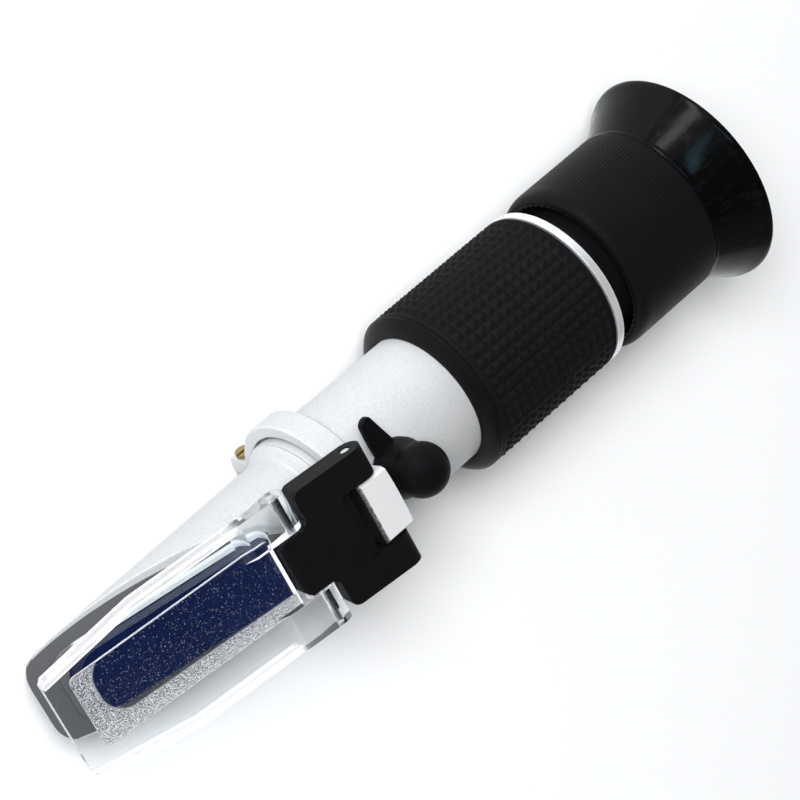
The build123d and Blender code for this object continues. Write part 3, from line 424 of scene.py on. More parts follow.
def pale_sealant():
    """Pale bead of sealant, slightly uneven. It thins out in front, and the dark face of the cut
    shows through.
    """
    finish = Finish("pale_sealant")
    cloud = finish.noise(700.0, 3.0, 0.6)
    thin = finish.along((1.0, 0.0, 0.0)).over(-0.0652, -0.0668)
    bead = finish.mix(cloud, (0.40, 0.43, 0.45, 1.0), (0.60, 0.63, 0.645, 1.0))
    finish.set(Base_Color=finish.mix(thin * 0.97, bead, grey(0.06, 0.006)))
    finish.set(Roughness=0.38 + cloud * 0.15)
    return finish.bump(cloud, 0.00012, 0.6)


def lens_glass():
    """Coated lens glass, with the coating's faint violet."""
    finish = Finish("lens_glass")
    haze = finish.noise(150.0, 2.0, 0.5)
    finish.set(Base_Color=finish.mix(haze, (0.8, 0.84, 0.95, 1.0), (0.86, 0.9, 0.97, 1.0)))
    finish.set(Roughness=0.01 + haze * 0.01, Transmission_Weight=1.0, IOR=1.52)
    return finish


def hinge_finish(tint):
    """Blasted aluminium, with a painted highlight that makes the block's top paler, and painted
    shade that darkens its front, deep in the notch, with patches of metal along its top edge.
    """
    finish = blasted_aluminium("hinge_aluminium", tint)
    ahead = finish.along((1.0, 0.0, 0.0)).over(-0.01925, -0.01945)
    upper = finish.along((0.0, 0.0, 1.0))
    # painted shade: the block's front face, in the notch where the arm's slot shades it, is made
    # near black
    dark = ahead * upper.over(0.0150, 0.0156)
    rim = upper.over(0.0203, 0.0210)
    # painted highlight: the block's upward face is made paler, as light from above would make it
    painted_top_highlight = upper.over(0.0210, 0.0213) * (1.0 - ahead)
    # noise patches let the aluminium show through the painted shade along the top edge of the front
    # face
    shade_edge_patches = finish.noise(2400.0, 4.0, 0.7).over(0.35, 0.65)
    pale = finish.mix(painted_top_highlight * 0.6, finish.base(), grey(0.86, 0.01))
    finish.set(Base_Color=finish.mix(dark * (0.99 - rim * shade_edge_patches * 0.6), pale, grey(0.006)))
    return finish


def housing_finish(tint):
    """Blasted aluminium outside, and a dark grey, non-metallic face on the slanted cut."""
    finish = blasted_aluminium("housing_aluminium", tint)
    dark = finish.attribute("cut_face").over(0.35, 0.65)
    grain = finish.noise(2600.0, 3.0, 0.6)
    dark_face_colour = finish.mix(grain, grey(0.055, 0.005), grey(0.09, 0.007))
    finish.set(Base_Color=finish.mix(dark, finish.base(), dark_face_colour))
    finish.set(Metallic=0.45 - dark * 0.45)
    return finish


# Surfaces


def grid_faces(rows, columns, wrap_rows=False):
    """Quads of a grid of points stored row by row. Each row is closed, and the columns can be."""
    row = np.arange(rows if wrap_rows else rows - 1)
    i, j = np.meshgrid(row, np.arange(columns), indexing="ij")
    i2, j2 = (i + 1) % rows, (j + 1) % columns
    quads = np.stack([i * columns + j, i * columns + j2, i2 * columns + j2, i2 * columns + j], -1)
    return quads.reshape(-1, 4)


def bend(start, corner, end, t):
    """Points of the quadratic curve (1-t)^2 start + 2t(1-t) corner + t^2 end."""
    start, corner, end = (np.asarray(point, float) for point in (start, corner, end))
    return (1 - t) ** 2 * start + 2 * t * (1 - t) * corner + t**2 * end


def eased(corners, radius, steps=5):
    """Closed outline with each corner replaced by a short curve.

    Each corner p becomes a bend from a over p to b, where a and b lie one radius before and
    after p, but never further than 0.45 of the edge.
    """
    p = np.asarray(corners, float)
    before, after = np.roll(p, 1, 0) - p, np.roll(p, -1, 0) - p
    length_before = np.linalg.norm(before, axis=1, keepdims=True)
    length_after = np.linalg.norm(after, axis=1, keepdims=True)
    a = p + before / length_before * np.minimum(radius, 0.45 * length_before)
    b = p + after / length_after * np.minimum(radius, 0.45 * length_after)
    t = np.linspace(0.0, 1.0, steps)[None, :, None]
    return bend(a[:, None], p[:, None], b[:, None], t).reshape(-1, 2)


def tube_outline(front, rear, inner, outer, ease):
    """Eased outline of a plain tube's wall."""
    return eased([(front, inner), (front, outer), (rear, outer), (rear, inner)], ease)


def subdivided(outline, longest):
    """The same closed outline with extra points, so that no step is longer than this."""
    start, end = outline, np.roll(outline, -1, 0)
    count = np.maximum(1, np.ceil(np.linalg.norm(end - start, axis=1) / longest)).astype(int)
    owner = np.repeat(np.arange(len(outline)), count)
    first = np.repeat(np.cumsum(count) - count, count)
    t = ((np.arange(count.sum()) - first) / count[owner])[:, None]
    return start[owner] * (1 - t) + end[owner] * t


def turned(profile, around, change=None, closed=True):
    """A profile of (x, r) points, closed or from axis to axis, carried once round the X axis.

    Point (i, j) is (x_i, r cos a_j, r sin a_j). change(x, r, a) gives new x and r, for patterns.
    """
    angle = np.linspace(0, 2 * np.pi, around, endpoint=False)
    x, a = np.meshgrid(profile[:, 0], angle, indexing="ij")
    r = np.broadcast_to(profile[:, 1:2], x.shape)
    if change:
        x, r = change(x, r, a)
    points = np.stack([x, r * np.cos(a), r * np.sin(a)], -1).reshape(-1, 3)
    return points, grid_faces(len(profile), around, wrap_rows=closed)


def slab(outline, low, high, ease, steps=4):
    """An outline in the XY plane raised from low to high, with its top and bottom edges eased.

    Each ring of points is the outline moved inwards by ease (1 - sin t) at a height that is
    ease (1 - cos t) from the end, for t from 0 to a quarter turn, and both ends are capped. A
    corner moves along its mitre, which is limited where the corner is very sharp.
    """
    sharpest = 0.35
    p = np.asarray(outline, float)
    edge = np.roll(p, -1, 0) - p
    edge /= np.linalg.norm(edge, axis=1, keepdims=True)
    area = np.sum(p[:, 0] * np.roll(p[:, 1], -1) - p[:, 1] * np.roll(p[:, 0], -1))
    normal = np.stack([-edge[:, 1], edge[:, 0]], -1) * np.sign(area)
    inward = normal + np.roll(normal, 1, 0)
    inward /= np.maximum(sharpest, np.sum(inward * normal, axis=1, keepdims=True))
    t = np.linspace(0, np.pi / 2, steps)
    inset = ease * (1 - np.sin(t))
    rise = ease * (1 - np.cos(t))
    insets = np.concatenate([inset, inset[::-1]])
    heights = np.concatenate([low + rise, high - rise[::-1]])
    rings = p[None] + insets[:, None, None] * inward[None]
    z = np.broadcast_to(heights[:, None, None], rings[..., :1].shape)
    points = np.concatenate([rings, z], -1).reshape(-1, 3)
    faces = grid_faces(len(insets), len(p)).tolist()
    last = (len(insets) - 1) * len(p)
    faces.append(list(range(len(p)))[::-1])
    faces.append(list(range(last, last + len(p))))
    return points, faces


def placed(points, origin, x_dir, z_dir):
    """Points in a local frame moved to origin + x X + y (Z x X) + z Z."""
    x_dir, z_dir = np.asarray(x_dir, float), np.asarray(z_dir, float)
    y_dir = np.cross(z_dir, x_dir)
    return np.asarray(origin) + points @ np.stack([x_dir, y_dir, z_dir])


def joined(*surfaces):
    """Several surfaces as one mesh."""
    points, faces, start = [], [], 0
    for some_points, some_faces in surfaces:
        points.append(some_points)
        faces += [[start + i for i in face] for face in some_faces]
        start += len(some_points)
    return np.concatenate(points), faces


def piece(name, surface, finish, body, replaces=(), flat_faces=False):
    """Makes the mesh of a surface in metres, with outward faces, and rides it on its body."""
    points, faces = surface
    mesh = bpy.data.meshes.new(name)
    mesh.from_pydata((np.asarray(points) * MM).tolist(), [], [list(map(int, f)) for f in faces])
    return fitted(name, mesh, finish, body, replaces, flat_faces)


def fitted(name, mesh, finish, body, replaces=(), flat_faces=False):
    """Closes a mesh's seams, turns its faces outwards, and gives it its finish and body."""
    seam = 1e-7
    work = bmesh.new()
    work.from_mesh(mesh)
    bmesh.ops.remove_doubles(work, verts=work.verts, dist=seam)
    bmesh.ops.recalc_face_normals(work, faces=work.faces)
    work.to_mesh(mesh)
    work.free()
    mesh.polygons.foreach_set("use_smooth", [True] * len(mesh.polygons))
    mesh.materials.append(finish.material)
    made = bpy.data.objects.new(name, mesh)
    bpy.context.scene.collection.objects.link(made)
    if flat_faces:
        weighted = made.modifiers.new("even_flats", "WEIGHTED_NORMAL")
        weighted.keep_sharp = True
        weighted.weight = 60
    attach(made, body)
    if replaces:
        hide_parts(*replaces)
    return made


def eased_copy(node, width, finish, body, segments=3, upright=None, corner=0.0):
    """A merged copy of a node's own solid, with its flat faces whole and its edges rounded.

    Convex edges that run along upright are rounded first, by the radius corner.
    """
    mesh = frame["nodes"][node].data.copy()
    mesh.materials.clear()
    seam, flat, sharp = 2e-7, np.radians(1.0), np.radians(28)
    work = bmesh.new()
    work.from_mesh(mesh)
    bmesh.ops.remove_doubles(work, verts=work.verts, dist=seam)
    bmesh.ops.dissolve_limit(work, angle_limit=flat, verts=work.verts, edges=work.edges)
    if upright is not None:
        bmesh.ops.recalc_face_normals(work, faces=work.faces)
        round_upright(work, Vector(upright), corner * MM)
    work.to_mesh(mesh)
    work.free()
    made = fitted(node + "_dressed", mesh, finish, body, (node,), True)
    rounded = made.modifiers.new("edges", "BEVEL")
    rounded.width = width * MM
    rounded.segments = segments
    rounded.limit_method = "ANGLE"
    rounded.angle_limit = sharp
    last = len(made.modifiers) - 1
    made.modifiers.move(last, 0)
    return made


def round_upright(work, upright, radius):
    """Bevels the convex sharp edges of a mesh that run along upright and are longer than 1.2 mm."""
    shortest, aligned, sharp = 1.2 * MM, 0.999, 1.2
    chosen = []
    for edge in work.edges:
        run = edge.verts[1].co - edge.verts[0].co
        if len(edge.link_faces) == 2 and edge.is_convex and run.length > shortest:
            if abs(run.normalized().dot(upright)) > aligned and edge.calc_face_angle() > sharp:
                chosen.append(edge)
    bmesh.ops.bevel(work, geom=chosen, offset=radius, segments=5, profile=0.5, affect="EDGES",
                    clamp_overlap=True)


def sink_head(mesh):
    """Flattens the clamp screw's head along its axis, as it sits half sunk in the lug.

    Points that stand more than 0.05 mm above the lug's face keep 45 % of their further height.
    """
    face_level, kept = 3.05 * MM, 0.45
    axis = np.array((0.0, np.sin(SCREW_LEAN), np.cos(SCREW_LEAN)))
    points = np.empty(len(mesh.vertices) * 3)
    mesh.vertices.foreach_get("co", points)
    points = points.reshape(-1, 3)
    above = np.maximum(points @ axis - face_level, 0.0)
    mesh.vertices.foreach_set("co", (points - (1 - kept) * above[:, None] * axis).ravel())
    mesh.update()


def dress_node(node, finish):
    """Gives a node that stays as it is its finish."""
    data = frame["nodes"][node].data
    data.materials.clear()
    data.materials.append(finish.material)


FINISHES = {}


def finish_of(key):
    """Each finish is made once and shared."""
    if key not in FINISHES:
        colours = bpy.context.scene.refractometer_colours
        tint = tuple(colours.aluminium)
        makers = {
            "aluminium": lambda: blasted_aluminium("satin_aluminium", tint),
            "housing": lambda: housing_finish(tuple(0.94 * c for c in tint)),
            "hinge": lambda: hinge_finish(tuple(1.01 * c for c in tint)),
            "grip": lambda: moulded_rubber("grip_rubber", colours.rubber),
            "cap": lambda: moulded_rubber("cap_rubber", colours.rubber * 0.6, 0.06),
            "satin": lambda: satin_plastic("satin_black", 0.0035, 0.3),
            "ring": serrated_black,
            "inner": lambda: satin_plastic("inner_black", 0.008, 0.6),
            "eyecup": gloss_eyecup,
            "arm": arm_plastic,
            "chrome": lambda: bright_metal("chrome_trim", (0.9, 0.91, 0.92), 0.2, 0.7),
            "steel": lambda: bright_metal("pin_steel", (0.62, 0.63, 0.65), 0.24),
            "brass": lambda: bright_metal("screw_brass", (0.36, 0.27, 0.12), 0.34),
            "clear": clear_plastic,
            "prism": prism_glass,
            "seal": pale_sealant,
            "lens": lens_glass,
        }
        FINISHES[key] = makers[key]()
    return FINISHES[key]


# Sizes and colours


class RefractometerSizes(bpy.types.PropertyGroup):
    """Counts and depths of the fine patterns."""

    rows: IntProperty(name="Pyramid rows", description="Rows along the grip", default=14, min=4)
    around: IntProperty(
        name="Pyramids around", description="Pyramids round the grip", default=48, min=8
    )
    pyramid_depth: FloatProperty(
        name="Pyramid depth", description="Height of a pyramid", default=0.00062, min=0.0,
        precision=5, subtype="DISTANCE"
    )
    serrations: IntProperty(
        name="Serrations", description="Grooves round the focus ring", default=132, min=12
    )
    serration_depth: FloatProperty(
        name="Serration depth", description="Depth of a groove", default=0.00005, min=0.0,
        precision=6, subtype="DISTANCE"
    )
    scallops: IntProperty(
        name="Scallops", description="Hollows round the focus ring's mouth", default=60, min=6
    )


class RefractometerColours(bpy.types.PropertyGroup):
    """Colours of the main finishes and strengths of the lights."""

    aluminium: FloatVectorProperty(
        name="Aluminium", description="Tint of the blasted aluminium", default=(0.60, 0.61, 0.62),
        min=0.0, max=1.0, subtype="COLOR"
    )
    rubber: FloatProperty(
        name="Rubber", description="Brightness of the black rubber", default=0.0048, min=0.0,
        max=1.0, subtype="FACTOR"
    )
    floor: FloatVectorProperty(
        name="Floor", description="Colour of the floor", default=(0.70, 0.71, 0.72), min=0.0,
        max=1.0, subtype="COLOR"
    )
    window_power: FloatProperty(
        name="Large light", description="Power of the large soft light", default=15.5, min=0.0,
        unit="POWER"
    )
    fill_power: FloatProperty(
        name="Fill light", description="Power of the soft light from the left", default=2.6,
        min=0.0, unit="POWER"
    )
    key_power: FloatProperty(
        name="Key light", description="Power of the light that gloss shows", default=1.7, min=0.0,
        unit="POWER"
    )
    front_power: FloatProperty(
        name="Front light", description="Power of the cool light in front", default=0.75, min=0.0,
        unit="POWER"
    )
    sky: FloatProperty(
        name="Walls", description="Strength of the even light all round", default=0.85, min=0.0,
        max=4.0, subtype="FACTOR"
    )
    ceiling: FloatProperty(
        name="Ceiling", description="Strength of the light from above", default=0.06, min=0.0,
        max=4.0, subtype="FACTOR"
    )


# The pieces


class MakeBarrel(bpy.types.Operator):
    """Bare barrel tube, and the boss of the calibration screw."""

    bl_idname = "refractometer.make_barrel"
    bl_label = "Barrel"

    def execute(self, context):
        wall = tube_outline(BARREL_FRONT, BARREL_REAR, BORE_R, BARREL_R, 0.25)
        surface = turned(subdivided(wall, 3.0), 192)
        piece("barrel_tube", surface, finish_of("aluminium"), "instrument",
              ("barrel",), True)
        dress_node("screw_boss", finish_of("aluminium"))
        return {"FINISHED"}


class MakeHousing(bpy.types.Operator):
    """Front housing: a slim taper, cut off aslant under the prism."""

    bl_idname = "refractometer.make_housing"
    bl_label = "Front housing"

    def execute(self, context):
        x, r = housing_profile()
        made = piece("housing_shell", cut_tube(x, r), finish_of("housing"), "instrument",
                     ("front_housing",), True)
        mark_cut_face(made)
        return {"FINISHED"}


def housing_profile():
    """Stations and radii from the nose, a quarter circle, along the taper and up the shoulder."""
    turn, ring_r = np.linspace(np.pi / 2, 0, 12), 12.5
    taper_x = np.linspace(-70.5, -21.4, 70)
    x = np.concatenate([NOSE_X + NOSE_R * (1 - np.sin(turn)), taper_x])
    r = np.interp(x, TAPER_X, TAPER_R)
    front = x < TAPER_X[0]
    sine = np.sin(np.arccos(np.clip(1 - (x[front] - NOSE_X) / NOSE_R, -1, 1)))
    r[front] = TAPER_R[0] - NOSE_R + NOSE_R * sine
    step = smooth_path([(-20.9, TAPER_R[1]), (-20.45, 10.88), (-20.15, 11.15), (-19.4, 12.0),
                        (-19.1, 12.3), (-18.8, 12.46), (-18.4, ring_r), (-13.0, ring_r)], 3)
    return np.concatenate([x, step[:, 0]]), np.concatenate([r, step[:, 1]])


def cut_height(x):
    """Height of the slanted cut at x, on the plane that lies CUT_DEPTH under the hinge line."""
    return HINGE[2] - CUT_DEPTH / np.cos(SLOPE_CUT) + (x - HINGE[0]) * np.tan(SLOPE_CUT)


def cut_tube(x, r):
    """Sections of a tube of radius r(x) along X, each cut off flat at the slanted cut's height.

    A section is an arc of 72 points round the underside, from one end of the chord to the other,
    then a short bend, the chord, and a short bend. Where the cut is above the tube the chord
    shrinks to 1.2 mm.
    """
    least = 0.6
    half = np.maximum(least, np.sqrt(np.maximum(0.0, r**2 - np.minimum(cut_height(x), r) ** 2)))
    lift = np.arccos(np.clip(half / r, -1, 1))
    lift = np.where(cut_height(x) < 0, -lift, lift)
    soft = CUT_SOFT / r
    t = np.linspace(0, 1, 72)
    start, end = lift - soft, -np.pi - lift + soft
    angle = start[:, None] + (end - start)[:, None] * t
    arc = np.stack([r[:, None] * np.cos(angle), r[:, None] * np.sin(angle)], -1)

    right_corner = np.stack([half, r * np.sin(lift)], -1)
    left_corner = right_corner * np.array([-1.0, 1.0])
    inner = np.minimum(CUT_SOFT, half * 0.5)[:, None] * np.array([1.0, 0.0])
    left_in, right_in = (left_corner + inner)[:, None], (right_corner - inner)[:, None]
    thirds = np.array([0.33, 0.67])[None, :, None]
    left = bend(arc[:, -1:, :], left_corner[:, None], left_in, thirds)
    right = bend(right_in, right_corner[:, None], arc[:, :1, :], thirds)

    across = chord_shares(x, half, right_in[:, :, 0] - left_in[:, :, 0])
    chord = left_in * (1 - across) + right_in * across
    section = np.concatenate([arc, left, chord, right], 1)
    columns = section.shape[1]
    along = np.broadcast_to(x[:, None, None], (len(x), columns, 1))
    points = np.concatenate([along, section], -1).reshape(-1, 3)
    faces = grid_faces(len(x), columns).tolist()
    last = (len(x) - 1) * columns
    faces.append(list(range(columns)))
    faces.append(list(range(last, last + columns)))
    return points, faces


def chord_shares(x, half, width):
    """Where the points of the cut's chord lie, as shares of its width.

    Two lines of points close together follow the metal rim on either side, and the rest are even.
    """
    rim = np.minimum(rim_width(x), half * 0.5)[:, None]
    width = np.maximum(1e-6, width)
    near = np.hstack([np.zeros_like(rim), 0.85 * rim / width, rim / width])
    even = np.linspace(0, 1, 7)[None, 1:-1]
    middle = near[:, -1:] + even * (1 - 2 * near[:, -1:])
    return np.hstack([near, middle, 1 - near[:, ::-1]])[..., None]


def rim_width(x):
    """Width of the rim of plain metal beside the dark face of the cut."""
    return np.interp(x, RIM_X, RIM_WIDTH)


def mark_cut_face(made):
    """Attribute cut_face is 1 on points of the slanted plane that lie inside its metal rim."""
    tolerance, face_end, rim_share = 0.02, -25.3, 0.93
    place = np.empty(len(made.data.vertices) * 3)
    made.data.vertices.foreach_get("co", place)
    x, y, z = (place.reshape(-1, 3) / MM).T
    height, tube = cut_height(x), np.interp(x, TAPER_X, TAPER_R)
    chord = np.sqrt(np.maximum(0.0, tube**2 - np.minimum(height, tube) ** 2))
    inside = np.abs(y) < chord - CUT_SOFT - rim_share * rim_width(x)
    on_plane = (np.abs(z - height) < tolerance) & (x < face_end) & inside
    layer = made.data.attributes.new("cut_face", "FLOAT", "POINT")
    layer.data.foreach_set("value", on_plane.astype(np.float32))


class MakePrism(bpy.types.Operator):
    """Prism with its rounded front, and the sealing bead round it."""

    bl_idname = "refractometer.make_prism"
    bl_label = "Prism"

    def execute(self, context):
        made = eased_copy("main_prism", 0.18, finish_of("prism"), "instrument")
        made.name = "prism_block"
        eased_copy("prism_seal", 0.25, finish_of("seal"), "instrument")
        return {"FINISHED"}


class MakeHingeRing(bpy.types.Operator):
    """Hinge ring with its block, lug and clamp screw."""

    bl_idname = "refractometer.make_hinge_ring"
    bl_label = "Hinge ring"

    def execute(self, context):
        eased_copy("hinge_ring", 0.22, finish_of("hinge"), "instrument")
        screw = eased_copy("clamp_screw", 0.12, finish_of("brass"), "instrument", 2)
        sink_head(screw.data)
        eased_copy("hinge_pin", 0.1, finish_of("steel"), "instrument", 2)
        return {"FINISHED"}


class MakeArm(bpy.types.Operator):
    """Hinge arm and the pin in its tongue."""

    bl_idname = "refractometer.make_arm"
    bl_label = "Hinge arm"

    def execute(self, context):
        upright = (-np.sin(SLOPE_SHOWN), 0.0, np.cos(SLOPE_SHOWN))
        corner = 1.4
        eased_copy("hinge_arm", 0.28, finish_of("arm"), "arm", 3, upright, corner)
        eased_copy("plate_pin", 0.08, finish_of("steel"), "arm", 2)
        return {"FINISHED"}


class MakePlate(bpy.types.Operator):
    """Clear daylight plate with its rails, ears and frosted pad."""

    bl_idname = "refractometer.make_plate"
    bl_label = "Daylight plate"

    def execute(self, context):
        eased_copy("daylight_plate", 0.14, finish_of("clear"), "plate", 2)
        return {"FINISHED"}


class MakeCap(bpy.types.Operator):
    """Rubber cap: a ball on a waisted skirt, with a pull tab."""

    bl_idname = "refractometer.make_cap"
    bl_label = "Calibration cap"

    def execute(self, context):
        surface = joined(cap_body(96), cap_tab())
        piece("cap_rubber_body", surface, finish_of("cap"), "cap",
              ("calibration_cap",))
        return {"FINISHED"}


def cap_body(around):
    """Ball, waist, skirt and bore of the cap, as one profile turned round its upright axis.

    The profile's points are (r, z), and the waist is a bend.
    """
    ball_r, ball_z, skirt_r, skirt_top, foot, bore_r = 4.75, 20.05, 5.25, 14.9, 13.3, 3.15
    t = np.radians(np.linspace(90, -22, 26))
    ball = np.stack([ball_r * np.cos(t), ball_z + ball_r * np.sin(t)], -1)
    ball[0, 0] = 0.0
    waist = bend(ball[-1], (4.67, 17.2), (skirt_r, skirt_top), np.linspace(0, 1, 9)[1:, None])
    skirt = np.array([[skirt_r, 14.3], [skirt_r, 13.6], [5.18, 13.4], [4.95, foot], [3.3, foot],
                      [bore_r, 13.4], [bore_r, 17.9], [0.0, 18.0]])
    profile = np.concatenate([ball, waist, skirt])
    points, faces = turned(profile[:, ::-1], around, closed=False)
    return points[:, [1, 2, 0]] + (CAP_X, 0.0, 0.0), faces


def cap_tab():
    """Pull tab of the cap: a leaf that lifts towards its tip, with a shallow groove on top."""
    low, high, turn = 13.6, 15.15, np.radians(102.0)
    lift, lift_start, lift_run = 0.5, 6.0, 5.8
    groove, groove_half, groove_end = 0.25, 1.5, 11.2
    outline = eased([(3.4, 2.4), (5.25, 2.2), (8.4, 1.68), (11.2, 1.15), (11.8, 0.3),
                     (11.75, -0.75), (11.3, -1.15), (8.4, -1.62), (5.25, -2.1), (3.4, -2.2)], 0.5)
    points, faces = slab(subdivided(outline, 0.5), low, high, 0.3)
    reach, side = points[:, 0], points[:, 1]
    rise = np.clip((reach - lift_start) / lift_run, 0, 1)
    on_top = (points[:, 2] > high - 0.05) & (reach < groove_end)
    dip = groove * np.clip(1 - (side / groove_half) ** 2, 0, 1) * on_top
    points[:, 2] += lift * rise**2 - dip
    return placed(points, (CAP_X, 0, 0), (np.cos(turn), np.sin(turn), 0), (0, 0, 1)), faces


class MakeGrip(bpy.types.Operator):
    """Rubber grip with its grid of small pyramids, its collar and the bright trim ring."""

    bl_idname = "refractometer.make_grip"
    bl_label = "Grip"

    def execute(self, context):
        piece("grip_rubber_body", grip_surface(context.scene.refractometer_sizes),
              finish_of("grip"), "instrument", ("grip_sleeve",))
        piece("collar_body", turned(collar_profile(), 160), finish_of("satin"), "instrument",
              ("grip_collar",))
        trim = tube_outline(BARREL_REAR, 46.0, BORE_R, 16.0, 0.28)
        piece("trim_body", turned(trim, 192), finish_of("chrome"), "instrument",
              ("trim_ring",), True)
        return {"FINISHED"}


def grip_surface(sizes):
    """Grip turned from its profile, with rows of small pyramids between its two plain edges."""
    rows, around, depth = sizes.rows, sizes.around, sizes.pyramid_depth / MM
    first, last, crest_r, edge_r, front, rear = 15.35, 43.35, 16.1, 15.98, 14.05, 44.35
    fine, flat_top, slack = 8, 0.9, 1e-6
    step = (last - first) / rows
    crests = np.linspace(first, last, rows * fine + 1)
    lead = [(front, SEAT_R), (front, 15.3), (14.12, 15.5), (14.4, 15.85), (14.85, edge_r)]
    tail = [(43.8, edge_r), (44.1, 15.75), (44.3, 15.4), (rear, SEAT_R)]
    relief = np.stack([crests, np.full(len(crests), crest_r)], -1)

    def pyramids(x, r, a):
        """A pyramid's height is the lesser of two triangle waves, cut off a little on top."""
        u = (x - first) / step
        v = a / (2 * np.pi) * around
        wave_u = 1 - np.abs(2 * (u - np.floor(u)) - 1)
        wave_v = 1 - np.abs(2 * (v - np.floor(v)) - 1)
        raised = np.minimum(np.minimum(wave_u, wave_v), flat_top) / flat_top
        inside = (x >= first - slack) & (x <= last + slack)
        return x, np.where(inside, r - depth * (1 - raised), r)

    return turned(np.concatenate([lead, relief, tail]), around * fine, pyramids)


def collar_profile():
    """Collar in front of the grip: a rounded nose, which is a bend, and a plain seat."""
    front, rear = 11.9, 14.0
    t = np.linspace(0, 1, 14)[:, None]
    nose = bend((front, 12.95), (12.24, 14.93), (13.62, 15.97), t)
    rest = [(13.76, 15.96), (13.9, 15.8), (rear, 15.35), (rear, SEAT_R), (12.0, SEAT_R),
            (front, 12.75)]
    return np.concatenate([nose, rest])


class MakeEyepiece(bpy.types.Operator):
    """Neck, focus ring with its serrations, and the flared eyecup."""

    bl_idname = "refractometer.make_eyepiece"
    bl_label = "Eyepiece"

    def execute(self, context):
        piece("neck_tube", turned(neck_profile(), 160), finish_of("satin"), "instrument",
              ("eyepiece_neck",), True)
        piece("focus_ring_body", focus_ring_surface(context.scene.refractometer_sizes),
              finish_of("ring"), "eyepiece", ("focus_ring",))
        piece("eyecup_body", turned(eyecup_profile(), 192), finish_of("eyecup"), "eyepiece",
              ("eyecup",))
        return {"FINISHED"}


def neck_profile():
    """Neck: a plug in the barrel, a flange against the trim ring, and the tube for the ring."""
    plug_r, bore_r, flange_r, tube_r, relief_r = 10.85, 9.4, 13.5, 13.0, 11.3
    flange_front, flange_rear, front, rear = 46.0, 48.35, 33.0, 62.4
    corners = [(front, 9.35), (front, plug_r), (flange_front, plug_r), (flange_front, flange_r),
               (flange_rear, flange_r), (flange_rear, tube_r), (rear, tube_r), (rear, relief_r),
               (47.5, relief_r), (47.5, bore_r)]
    return subdivided(eased(corners, 0.22), 3.0)


def focus_ring_surface(sizes):
    """Focus ring turned from its profile: a rounded nose, which is a bend, a body and a bore."""
    grooves, depth, scallops = sizes.serrations, sizes.serration_depth / MM, sizes.scallops
    front, rear, ring_r, mouth_r = 50.2, 71.2, 16.4, 14.5
    first, last, fade_in, fade_out, mouth_end, scallop = 53.4, 70.6, 0.8, 0.3, 53.9, 0.22
    nose = bend((front, 15.1), (50.35, ring_r), (52.8, ring_r), np.linspace(0, 1, 14)[:, None])
    body = np.stack([np.linspace(53.2, last, 36), np.full(36, ring_r)], -1)
    lip = [(70.85, 16.32), (71.1, 16.05), (rear, 15.95)]
    inside = eased([(rear, 15.75), (rear, 13.4), (68.4, 13.4), (68.4, 11.0), (65.8, 11.0),
                    (65.8, 13.05), (54.0, 13.05), (first, mouth_r), (front, mouth_r)], 0.16, 4)

    def serrated(x, r, a):
        """Grooves fade in behind the nose, and the mouth's wall waves in and out."""
        fade = np.clip((x - first) / fade_in, 0, 1) * np.clip((last - x) / fade_out, 0, 1)
        groove = fade * (r > ring_r - 0.1) * (0.5 - 0.5 * np.cos(a * grooves)) ** 2
        mouth = (r < 15.2) & (r > mouth_r - 0.3) & (x < mouth_end)
        wave = mouth * scallop * (0.5 + 0.5 * np.cos(a * scallops))
        return x, r - groove * depth - wave

    return turned(np.concatenate([nose, body, lip, inside]), grooves * 6, serrated)


def smooth_path(knots, each):
    """A smooth line through the knots: on each span the cubic with Catmull-Rom slopes."""
    p = np.asarray(knots, float)
    before = np.vstack([2 * p[:1] - p[1:2], p[:-1]])
    after = np.vstack([p[1:], 2 * p[-1:] - p[-2:-1]])
    slope = (after - before) / 2
    t = np.linspace(0, 1, each, endpoint=False)[None, :, None]
    a, b = p[:-1, None], p[1:, None]
    m, n = slope[:-1, None], slope[1:, None]
    line = ((2 * t**3 - 3 * t**2 + 1) * a + (t**3 - 2 * t**2 + t) * m
            + (3 * t**2 - 2 * t**3) * b + (t**3 - t**2) * n)
    return np.vstack([line.reshape(-1, 2), p[-1:]])


def eyecup_profile():
    """Outside along the flare to the rim, a full round lip, and back down the funnel."""
    joint, rim, mouth = (71.25, 15.65), (80.3, 20.7), (81.5, 19.8)
    seat_x, seat_r, throat_r = 70.1, 13.35, 8.4
    outside = smooth_path([joint, (71.7, 16.0), (72.5, 16.2), (75.0, 17.4), (78.4, 19.4), rim], 8)
    lip = smooth_path([rim, (80.85, 20.92), (81.3, 20.88), (81.52, 20.45), mouth], 6)
    funnel = smooth_path([mouth, (78.4, 16.6), (75.0, 12.2), (73.8, 9.4), (73.2, 8.5),
                          (72.4, throat_r), (seat_x, throat_r)], 8)
    seat = [(seat_x, seat_r), (71.2, seat_r), (71.2, 15.6)]
    return np.concatenate([outside[:-1], lip[:-1], funnel, seat])


class MakeInside(bpy.types.Operator):
    """Finishes of the pieces inside the barrel and the eyepiece."""

    bl_idname = "refractometer.make_inside"
    bl_label = "Inner pieces"

    def execute(self, context):
        inner = {
            "inner": ("lens_guide", "lens_cell", "spring_post", "reticle_ring", "lens_tube",
                      "lens_spacer", "lens_retaining_ring"),
            "lens": ("objective_lens", "reticle", "field_lens", "eye_lens"),
            "steel": ("leaf_spring", "spring_screw"),
            "brass": ("calibration_screw",),
            "cap": ("focus_o_ring",),
        }
        for key, nodes in inner.items():
            for node in nodes:
                dress_node(node, finish_of(key))
        return {"FINISHED"}


